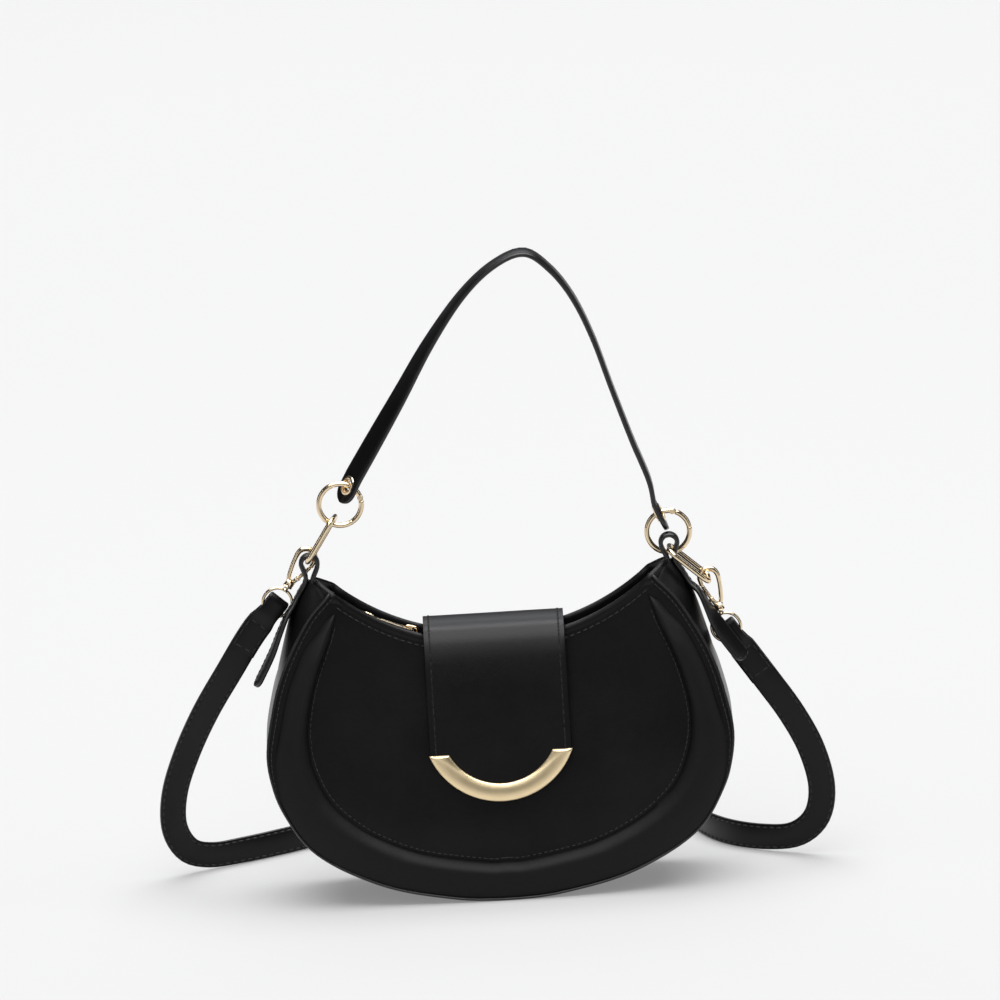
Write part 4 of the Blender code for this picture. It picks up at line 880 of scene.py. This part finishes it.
# Arc bar, magnetic snap
bar = dict(outer=0.0416, wide=0.0098, thick=0.0026, cut=0.0255, steps=96, snap=0.021)
flapEnd = flapLine[-1]
flapRun = (flapEnd - flapLine[-4]).normalized()
leftward = Vector((-1.0, 0.0, 0.0))
# X points left and Y down the flap, Z out of it
flapPlane = frameAt((0.0, flapEnd.x, flapEnd.y), leftward.cross(Vector((0.0, *flapRun))), leftward)


def makeArcBar():
    middle = flapPlane @ Vector((0.0, -flap["round"], 0.0))
    gold = goldLook("BrushedGold", (0.95, 0.77, 0.48), 0.4, tuple(middle))
    inner, thick, steps = bar["outer"] - bar["wide"], bar["thick"], bar["steps"]
    cut = flap["round"] - bar["cut"]
    dome = [(inner + bar["wide"] * (0.5 - 0.5 * cos(t)), 0.42 + 0.58 * sin(t) ** 0.8)
            for t in [pi * k / 14 for k in range(15)]]
    rings = []
    for i in range(steps + 1):
        ring = []
        for r, h in [(inner, 0.0)] + dome + [(bar["outer"], 0.0)]:
            turn = asin(min(cut / r, 1.0))
            angle = turn + (pi - 2 * turn) * i / steps
            near = min(i, steps - i) / steps * pi * r
            soft = 1.0 - 0.35 * (1 - ease(near / 0.0012)) * (h > 0.5)
            ring.append(flapPlane @ Vector((r * cos(angle), -flap["round"] + r * sin(angle),
                                            flapLift + flap["gap"] + thick * h * soft)))
        rings.append(ring)
    mesh = bmesh.new()
    addRings(mesh, rings)
    setPiece("ArcBar", mesh, [gold], "flap", "brushed_gold", ["arc_bar"], angle=50)


def makeSnap():
    at = flapPlane @ moved(0.0, -bar["snap"], 0.0)
    mesh = bmesh.new()
    addTurned(mesh, [(0.0002, -0.0017), (0.0042, -0.0017), (0.0052, -0.0013), (0.0056, -0.0004),
                     (0.0056, -0.0003), (0.0002, -0.0003)], at)
    goldPiece("SnapStud", mesh, "flap", "snap_stud")
    z = at.translation.z
    slope = atan2(halfDepth(0.0, z - 0.007) - halfDepth(0.0, z + 0.007), 0.014)
    mesh = bmesh.new()
    addTurned(mesh, [(0.0002, 0.0003), (0.007, 0.0003), (0.007, 0.0008), (0.0062, 0.0015), (0.0046, 0.0018),
                     (0.0026, 0.0016), (0.0022, 0.001), (0.0002, 0.001)],
              moved(0.0, -halfDepth(0.0, z), z) @ Matrix.Rotation(pi / 2 - slope, 4, "X"))
    goldPiece("SnapSocket", mesh, "shell", "snap_socket")


makeArcBar()
makeSnap()
print("flap made")

# Zip
zipSizes = dict(drop=0.0046, cloth=0.0008, reach=0.086, slit=0.0044, depth=0.0015, tall=0.0018, pitch=0.00235,
                stop=0.003, length=0.0095, wide=0.0092, plate=0.001, wedge=0.0032, place=0.53, bail=0.0006,
                puller=0.029, pullerWide=0.0052, pullerThick=0.0014, ringOuter=0.0044, ringInner=0.0026, rise=6.0)
zipRadius = bag["rimRadius"] + zipSizes["drop"]


def tapePoint(x, y, lift):
    turn = asin(x / zipRadius)
    away = zipRadius - lift
    return Vector((away * sin(turn), y, rimCentre - away * cos(turn)))


def tapeFrame(x):
    return Matrix.Translation(tapePoint(x, 0.0, 0.0)) @ Matrix.Rotation(-asin(x / zipRadius), 4, "Y")


def makeZip():
    size = zipSizes
    reach, slit, depth, tall, cloth = size["reach"], size["slit"], size["depth"], size["tall"], size["cloth"]
    outer = bag["halfRim"] - bag["leather"] - body["lining"] - 0.0006
    inner = slit / 2 + depth + 0.0003
    half = [(outer, 0.5), ((outer + inner) / 2, 0.5), (inner + 0.0008, 0.5), (inner + 0.0003, 0.9),
            (inner, 0.6)]
    for name, face in (("Front", -1), ("Back", 1)):
        mesh = bmesh.new()
        rings = []
        for x in [reach * (k / 30 - 1) for k in range(61)]:
            rings.append([tapePoint(x, face * y, cloth * lift + 0.0002 * sin(x * 190) * (y > inner + 0.001))
                          for y, lift in half + [(y, -lift) for y, lift in half[::-1]]])
        addRings(mesh, rings)
        line = [tapePoint(reach * (k / 60 - 1) * 0.98, face * (outer - 0.0016), cloth / 2) for k in range(121)]
        addStitches(mesh, line, [axisZ] * len(line), 0.0028, 0.0002, 1, holes=False)
        setPiece("ZipTape" + name, mesh, [tapeCloth, thread], "shell", "lining_cloth",
                 ["zip_tape_" + name.lower()])
        mesh = bmesh.new()
        span = reach - size["stop"]
        count = int(2 * span / size["pitch"])
        for k in range(count):
            x = -span + 2 * span * (k + 0.5 + 0.25 * face) / count
            at = tapeFrame(x) @ moved(0.0, face * (slit + depth) / 2, 0.0)
            addBlock(mesh, (size["pitch"] * 0.46, depth * 1.35, tall), at, 0.00022, 1)
            tip = at @ moved(0.0, -face * depth * 0.62, 0.0)
            addBlock(mesh, (size["pitch"] * 0.62, depth * 0.45, tall * 0.9), tip, 0.0002, 1)
        setPiece("ZipTeeth" + name, mesh, [teethPlastic], "shell", "black_teeth", ["zip_teeth_" + name.lower()])
    for name, side in (("Left", -1), ("Right", 1)):
        mesh = bmesh.new()
        at = tapeFrame(side * (reach - size["stop"] / 2))
        addBlock(mesh, (size["stop"], slit + 2 * depth, tall), at, 0.0005)
        goldPiece("ZipStop" + name, mesh, "shell", "zip_stop_" + name.lower())


def makeSlider():
    size = zipSizes
    at = tapeFrame(-size["reach"] * size["place"])
    lift = size["tall"] / 2 + 0.0003 + size["plate"] / 2
    long, half = size["length"] / 2, size["wide"] / 2
    edge = [(x * long, y * half)
            for x, y in ((-1.0, 0.62), (-0.4, 0.8), (0.15, 1.0), (0.6, 0.97), (0.85, 0.75), (1.0, 0.35))]
    outline = [(x, -y) for x, y in edge] + edge[::-1]
    mesh = bmesh.new()
    for height in (-lift, lift):
        addPlate(mesh, outline, size["plate"], at @ moved(0.0, 0.0, height), 0.0002)
    addBlock(mesh, (long, size["wedge"], 2 * lift), at, 0.0003)
    # the bail over its top plate
    top = lift + size["plate"] / 2
    high = top + 2 * size["bail"] + size["pullerThick"] - 0.0012
    reach = size["length"] * 0.36
    path = [(-reach, top - 0.0006)] + [(-reach * (0.55 + 0.45 * cos(t)), high + 0.0018 * sin(t))
                                       for t in [pi / 2 * k / 8 for k in range(9)]]
    path += [(-x, z) for x, z in path[::-1]]
    addTube(mesh, [at @ Vector((x, 0.0, z)) for x, z in path], size["bail"], sides=12)
    goldPiece("ZipSlider", mesh, "slider", "zip_slider")
    # puller: a tapered plate with a long window over the bail, a raised edge and a ring at its end
    thick, half = size["pullerThick"], size["pullerWide"] / 2
    at = at @ moved(-size["length"] * 0.1, 0.0, top + 0.0006 + thick / 2)
    at = at @ Matrix.Rotation(radians(size["rise"]), 4, "Y")
    neck = size["puller"] - size["ringOuter"]
    edge = [(-neck * a, -half * b) for a, b in ((0.74, 0.62), (0.5, 0.72), (0.25, 1.0))]
    outline = arcPoints(-neck, 0.0, size["ringOuter"], 48, 312, 40) + edge
    outline += arcPoints(0.0, 0.0, half, -88, 88, 14) + [(x, -y) for x, y in edge[::-1]]
    hole = arcPoints(-neck, 0.0, size["ringInner"], 0, 348.75, 31)
    near = half - 0.0015
    window = [(near - 0.0058, -0.0009), (near, -0.0009), (near, 0.0009), (near - 0.0058, 0.0009)]
    mesh = bmesh.new()
    addPlate(mesh, outline, thick, at, 0.00028, (hole, window))
    for radius in (size["ringOuter"] - 0.0004, size["ringInner"] + 0.0004):
        ring = [at @ Vector((x, y, thick / 2)) for x, y in arcPoints(-neck, 0.0, radius, 0, 354, 59)]
        addTube(mesh, ring, 0.00042, closed=True, sides=8)
    addBlock(mesh, (0.008, 0.0016, 0.0004), at @ moved(-neck * 0.5, 0.0, thick / 2), 0.00018)
    goldPiece("ZipPuller", mesh, "puller", "zip_puller")


makeZip()
makeSlider()
print("zip made")

# Tabs
tabSizes = dict(thick=0.0024, neck=0.007, tail=0.0115, radius=0.0033, shift=0.0047, gap=0.0003, stitchIn=0.0013,
                pitch=0.0032, threadSize=0.00024, ridge=((0.09928, 0.17313), (0.10664, 0.16053)),
                twist=dict(left=8.0, right=38.0))
tailShares = dict(
    right=((0.893, 0.943), (0.957, 0.844), (1.032, 0.755), (1.073, 0.722)),
    left=((0.88, 0.948), (0.915, 0.893), (0.952, 0.828), (1.012, 0.743), (1.032, 0.722)))


def tabLine(end):
    # inner leg, loop round the link, then the free tail down the corner's ridge
    size = tabSizes
    side = sides[end]["sign"]
    middle = Vector(sides[end]["loop"])
    top, under = [Vector((side * x, 0.0, z)) for x, z in size["ridge"]]
    bend = size["radius"] + size["thick"] / 2
    low = top.z - 0.007
    points = []
    for z in [low + (middle.z - low) * k / 10 for k in range(10)]:
        points.append(Vector((middle.x - side * (bend - 0.0036 * ease((middle.z - z) / 0.011)), 0.0, z)))
    for turn in [pi * (1 - k / 24) for k in range(24)]:
        points.append(middle + Vector((side * bend * cos(turn), 0.0, bend * sin(turn))))
    lead = len(points)
    stand = size["gap"] + size["thick"] / 2
    lean = (under - top).normalized()
    out = Vector((-lean.z * side, 0.0, lean.x * side))
    guide = [middle + Vector((side * bend, 0.0, 0.0)), top + out * (1.25 * stand) - lean * size["thick"],
             top.lerp(under, 0.42) + out * (1.05 * stand), top.lerp(under, 0.95) + out * (1.1 * stand)]
    guide += [Vector((side * bag["halfWide"] * a, 0.0, mouthZ * b)) for a, b in tailShares[end]]
    tail = smoothLine([(p.x, p.z) for p in guide], 70)
    halves = [size["neck"] / 2] * lead
    for k, p in enumerate(tail):
        share = ease((k / 70 - 0.2) / 0.35)
        half = (size["neck"] + (size["tail"] - size["neck"]) * share) / 2
        left = (tail[-1] - p).length
        if left < half:
            half *= sqrt(max(1 - (1 - left / half) ** 2, 0.02))
        halves.append(half)
        points.append(Vector((p.x, -size["shift"] * share, p.y)))
    return points, halves, lead


def makeTab(end):
    size = tabSizes
    side = sides[end]["sign"]
    points, halves, lead = tabLine(end)
    widths = []
    for i, p in enumerate(points):
        turn = radians(size["twist"][end]) * ease((i - lead - 26) / 30)
        widths.append(axisY * cos(turn) + Vector((side * 0.86, 0.0, 0.5)) * sin(turn))
        p.y -= 0.0016 * sin(turn)
    mesh = bmesh.new()
    frames = addStrip(mesh, points, widths, halves, size["thick"])
    rows = [row for row in frames[lead + 8:] if row[3] > size["neck"] * 0.45]
    outer = copysign(1.0, rows[10][2].x * side)
    lift = outer * size["thick"] / 2
    loop = [p + s * (h - size["stitchIn"]) + f * lift for p, s, f, h in rows]
    loop += [p - s * (h - size["stitchIn"]) + f * lift for p, s, f, h in rows[::-1]]
    addStitches(mesh, loop, [row[2] * outer for row in rows + rows[::-1]], size["pitch"], size["threadSize"], 2)
    p, s, f, h = frames[lead + 3]
    addStitches(mesh, [p + s * (h * t) + f * lift for t in (-0.7, 0.0, 0.7)], [f * outer] * 3, 0.0026,
                size["threadSize"], 2)
    setPiece("Tab" + end.capitalize(), mesh, [leather, edgePaint, thread, paintedHoleShade], "shell", "leather",
             ["tab_" + end])


for end in sides:
    makeTab(end)
print("tabs made")

# Links, round rings and their gates
linkSizes = dict(wire=0.00145, length=0.0272, wide=0.018, corner=0.0042, tilt=dict(left=-9.0, right=0.0))
ringSizes = dict(wire=0.00149, radius=0.0115, knuckle=0.0023, slot=0.0014, pin=0.0005, gap=0.0003)


def arcOf(centre, radius, start, stop, steps):
    return [centre + Vector((x, 0.0, z)) for x, z in arcPoints(0.0, 0.0, radius, start, stop, steps)]


def acrossY(origin, direction):
    return frameAt(origin, axisY, direction)


def makeLink(end):
    place, size = sides[end], linkSizes
    way = turnedTo(place["linkWay"])
    across = Matrix.Rotation(radians(size["tilt"][end]), 3, way) @ axisY
    corner, half = size["corner"], size["wide"] / 2 - size["corner"]
    line = []
    for k, (a, b) in enumerate(((size["length"] - corner, half), (corner, half), (corner, -half),
                                (size["length"] - corner, -half))):
        line += arcPoints(a, b, corner, 90 * k, 90 * k + 90, 12)
    points = []
    for (a, b), (c, d) in zip(line, line[1:] + line[:1]):
        # the straight sides are cut into short lengths
        steps = 6 if hypot(c - a, d - b) > 0.003 else 1
        points += [Vector(place["held"]) + way * (a + (c - a) * t / steps) + across * (b + (d - b) * t / steps)
                   for t in range(steps)]
    mesh = bmesh.new()
    addTube(mesh, points, size["wire"], closed=True, sides=20)
    goldPiece("Link" + end.capitalize(), mesh, "long_link_" + end, "link_" + end)


def makePin(name, origin, half, radius, body, node):
    head = [(radius, half * 0.9), (radius * 1.5, half * 0.95), (radius * 1.3, half * 1.02),
            (0.0001, half * 1.04)]
    mesh = bmesh.new()
    addTurned(mesh, [(r, -h) for r, h in head[::-1]] + head, acrossY(origin, (1, 0, 0)), 20)
    goldPiece(name, mesh, body, node)


def addKnuckle(mesh, pivot, half, slot, cheeks=True):
    # two cheeks round the pin, or the tongue between them
    gap = 0.0002
    r = half * 1.04 if cheeks else half - gap
    for low, high in ((-half, -slot / 2), (slot / 2, half)) if cheeks else ((gap - slot / 2, slot / 2 - gap),):
        soft = min(half * 0.18, (high - low) * 0.3)
        addTurned(mesh, [(0.0001, low), (r - soft, low), (r, low + soft), (r, high - soft), (r - soft, high),
                         (0.0001, high)], acrossY(pivot, (1, 0, 0)))


def makeRing(end):
    place, size, title = sides[end], ringSizes, end.capitalize()
    middle, hinge, free = Vector(place["ring"]), place["hinge"], place["free"]
    radius, wire, slot = size["radius"], size["wire"], size["slot"]
    pivot = middle + turnedTo(hinge) * radius
    half, gap = degrees(size["knuckle"] / radius), degrees(size["gap"] / radius)
    mesh = bmesh.new()
    addTube(mesh, arcOf(middle, radius, hinge + gap, free + 360 - gap, 96), wire, sides=22)
    addKnuckle(mesh, pivot, wire, slot)
    goldPiece("Ring" + title, mesh, "ring_" + end, "oring_" + end, welded=False)
    mesh = bmesh.new()
    addTube(mesh, arcOf(middle, radius, hinge - half, free + gap, 30), wire, sides=22)
    addKnuckle(mesh, pivot, wire, slot, False)
    at = acrossY(middle + turnedTo(hinge - half * 0.6) * radius, turnedTo(hinge - 90 - half / 2))
    addBlock(mesh, (0.0032, slot - 0.0004, wire * 1.5), at @ Matrix.Rotation(pi / 2, 4, "X"), 0.0001)
    goldPiece("RingGate" + title, mesh, "ring_gate_" + end, "oring_gate_" + end, welded=False)
    makePin("RingPin" + title, pivot, wire, size["pin"], "ring_" + end, "oring_pin_" + end)


for end in sides:
    makeLink(end)
    makeRing(end)
print("rings made")

# Handle with an eyelet at each end
handleSizes = dict(wide=0.015, thick=0.0026, end=0.0102, height=0.3488, outer=0.0054, inner=0.0034, lip=0.0006,
                   stitchIn=0.0016, pitch=0.0036, threadSize=0.0002)
handleShares = ((0.172, 0.483), (0.285, 0.686), (0.402, 0.858), (0.51, 0.962), (0.611, 1.0), (0.692, 0.934),
                (0.76, 0.824), (0.817, 0.672), (0.87, 0.477), (0.925, 0.283), (0.972, 0.132))


def eyeletPlace(end):
    place = sides[end]
    away = turnedTo(place["eyelet"])
    spot = Vector(place["ring"]) + away * ringSizes["radius"]
    face = Matrix.Rotation(radians(place["twist"]), 4, away) @ Vector((away.z, 0.0, -away.x))
    return spot, away, frameAt(spot, face, away)


def makeHandle():
    size = handleSizes
    left, leftAway, leftAt = eyeletPlace("left")
    right, rightAway, rightAt = eyeletPlace("right")
    half, wide = size["outer"] + size["lip"], size["wide"] / 2
    run, rise = right.x - left.x, size["height"] - right.z
    start, stop = left + leftAway * half, right + rightAway * half
    arch = [(left.x + run * a, right.z + rise * b) for a, b in handleShares]
    curve = smoothLine([(start.x, start.z)] + arch + [(stop.x, stop.z)], 220)
    middle = [Vector((p.x, left.y + (right.y - left.y) * i / 220, p.y)) for i, p in enumerate(curve)]
    ends = []
    for spot, way in ((left, leftAway), (right, rightAway)):
        ends.append([spot - way * size["end"] * cos(pi / 2 * k / 14) for k in range(14)]
                    + [spot + way * half * k / 5 for k in range(5)])
    points = ends[0] + middle + ends[1][::-1]
    top = curve.index(max(curve, key=lambda p: p.y))
    lengths = lengthsOf(points)
    widths, halves = [], []
    for i, run in enumerate(runsOf(points)):
        share = ease(1 - (i - len(ends[0])) / top)
        widths.append(Matrix.Rotation(radians(sides["left"]["twist"]) * share, 3, run) @ axisY)
        near = min(lengths[i], lengths[-1] - lengths[i], wide)
        halves.append(wide * sqrt(max(1 - (1 - near / wide) ** 2, 0.03)))
    mesh = bmesh.new()
    frames = addStrip(mesh, points, widths, halves, size["thick"])
    for edge in (-1, 1):
        for face in (-1, 1):
            stitchStrip(mesh, frames[10:-10], size, edge, face, 0.9)
    strip = setPiece("HandleStrip", mesh, stitchedStrap, "handle_strip", "leather", ["handle"])
    for end, at in (("left", leftAt), ("right", rightAt)):
        cutHole(strip, at, size["inner"] + 0.0006)
        makeEyelet("Eyelet" + end.capitalize(), at, "eyelet_" + end)


def cutHole(strip, at, radius):
    mesh = bmesh.new()
    bmesh.ops.create_cone(mesh, cap_ends=True, segments=40, radius1=radius, radius2=radius, depth=0.012,
                          matrix=at)
    cutter = meshObject("hole", mesh)
    cutter.data.shade_flat()
    step = strip.modifiers.new("hole", "BOOLEAN")
    step.object = cutter
    step.operation = "DIFFERENCE"
    bpy.context.view_layer.update()
    done = bpy.data.meshes.new_from_object(strip.evaluated_get(bpy.context.evaluated_depsgraph_get()))
    strip.modifiers.clear()
    strip.data = done
    bpy.data.objects.remove(cutter)


def makeEyelet(name, at, node):
    size = handleSizes
    inner, outer, lip, high = size["inner"], size["outer"], size["lip"], size["thick"] / 2
    upper = [(inner, high + lip * 0.7), (inner + 0.0005, high + lip * 1.25), (inner + 0.0011, high + lip * 1.35),
             (outer - 0.0004, high + lip * 0.75), (outer, high + 0.0002), (outer - 0.0002, high),
             (inner + 0.0005, high)]
    mesh = bmesh.new()
    addTurned(mesh, [(inner, 0.0)] + upper + [(r, -h) for r, h in upper[::-1]], at, 48, closed=True)
    goldPiece(name, mesh, "handle_strip", node, angle=60)


makeHandle()
print("handle made")

# Snap hooks, their gates and the strap eyes
hookSizes = dict(wire=0.0012, top=0.0342, bow=0.005, nose=0.0265, foot=0.0016, barrel=0.0028, start=0.0099,
                 end=0.0145, mouth=0.0015, stem=0.0011, head=0.0017, gate=0.001, pivotOut=0.0024, pivotUp=0.0172,
                 pin=0.0005, knuckle=0.0023, slot=0.0014, eyeWire=0.00085)


def makeHook(end):
    place, size, title = sides[end], hookSizes, end.capitalize()
    origin, up, across = Vector(place["eye"]), Vector(place["up"]), Vector(place["across"])
    at = frameAt(origin, up, across)

    def spot(sideways, rise):
        return origin + across * sideways + up * rise

    r, low, high, mouth, wire, bow, foot = (
        size[key] for key in ("barrel", "start", "end", "mouth", "wire", "bow", "foot"))
    mesh = bmesh.new()
    addTurned(mesh, [(mouth, low), (r - 0.0006, low), (r - 0.0002, low + 0.0002), (r, low + 0.0007),
                     (r - 0.0003, low + 0.0012), (r - 0.0003, high - 0.0016), (r, high - 0.0011),
                     (r - 0.0004, high - 0.0004), (r - 0.001, high), (0.0001, high), (0.0001, high - 0.0008),
                     (mouth, high - 0.0012)], at, 40, closed=True)
    bowUp = size["top"] - bow
    guide = [spot(foot, high - 0.0006), spot(foot + wire, high + wire * 2), spot(bow * 0.86, high + 0.0085),
             spot(bow, bowUp - wire)]
    guide += [spot(x, z) for x, z in arcPoints(0.0, bowUp, bow, 0, 180, 12) + [(-bow, size["nose"])]]
    path = smoothLine(guide, 110)
    radii = [wire * (1 + 0.28 * sin(pi * min(max((k / 110 - 0.35) / 0.6, 0), 1))) for k in range(len(path))]
    addTube(mesh, path, radii, sides=20)
    aside, above = size["pivotOut"], size["pivotUp"]
    pivot = spot(-aside, above)
    way, reach = (path[-1] - pivot).normalized(), (path[-1] - pivot).length
    arm = [spot(-aside / 2, high - 0.0006), spot(-aside * 0.75, (high + above) / 2), pivot - way * 0.0006]
    addTube(mesh, arm, wire, sides=16)
    addKnuckle(mesh, pivot, wire, size["slot"])
    goldPiece("Hook" + title, mesh, "snap_hook_" + end, "hook_" + end, welded=False)
    mesh = bmesh.new()
    start, span = size["knuckle"], reach - wire / 2 - 0.0004 - size["knuckle"]
    addTube(mesh, [pivot + way * (start + span * k / 8) for k in range(9)], size["gate"], sides=16)
    addKnuckle(mesh, pivot, wire, size["slot"], False)
    addBlock(mesh, (0.003, 0.0017, size["slot"] - 0.0004), acrossY(pivot + way * 0.0015, way), 0.0002)
    addBlock(mesh, (0.0034, 0.0009, 0.0016), acrossY(pivot + way * reach * 0.45 - across * 0.0008, way), 0.0003)
    goldPiece("HookGate" + title, mesh, "snap_gate_" + end, "hook_gate_" + end, welded=False)
    makePin("HookPin" + title, pivot, wire, size["pin"], "snap_hook_" + end, "hook_pin_" + end)
    mesh = bmesh.new()
    radius, stem, head, under = strapSizes["eyeRadius"], size["stem"], size["head"], low + 0.0012
    circle = [spot(x, z) for x, z in arcPoints(0.0, 0.0, radius, 0, 355, 71)]
    addTube(mesh, circle, size["eyeWire"], closed=True, sides=16)
    addTurned(mesh, [(0.0001, radius - 0.0006), (stem * 1.45, radius - 0.0006), (stem * 1.5, radius + 0.0003),
                     (stem * 1.1, radius + 0.0009), (stem, radius + 0.0013), (stem, under), (head, under + 0.0003),
                     (head, under + 0.001), (stem, under + 0.0013), (0.0001, under + 0.0013)], at, 28)
    goldPiece("Eye" + title, mesh, "shell", "eye_" + end, welded=False)


for end in sides:
    makeHook(end)
print("hooks made")
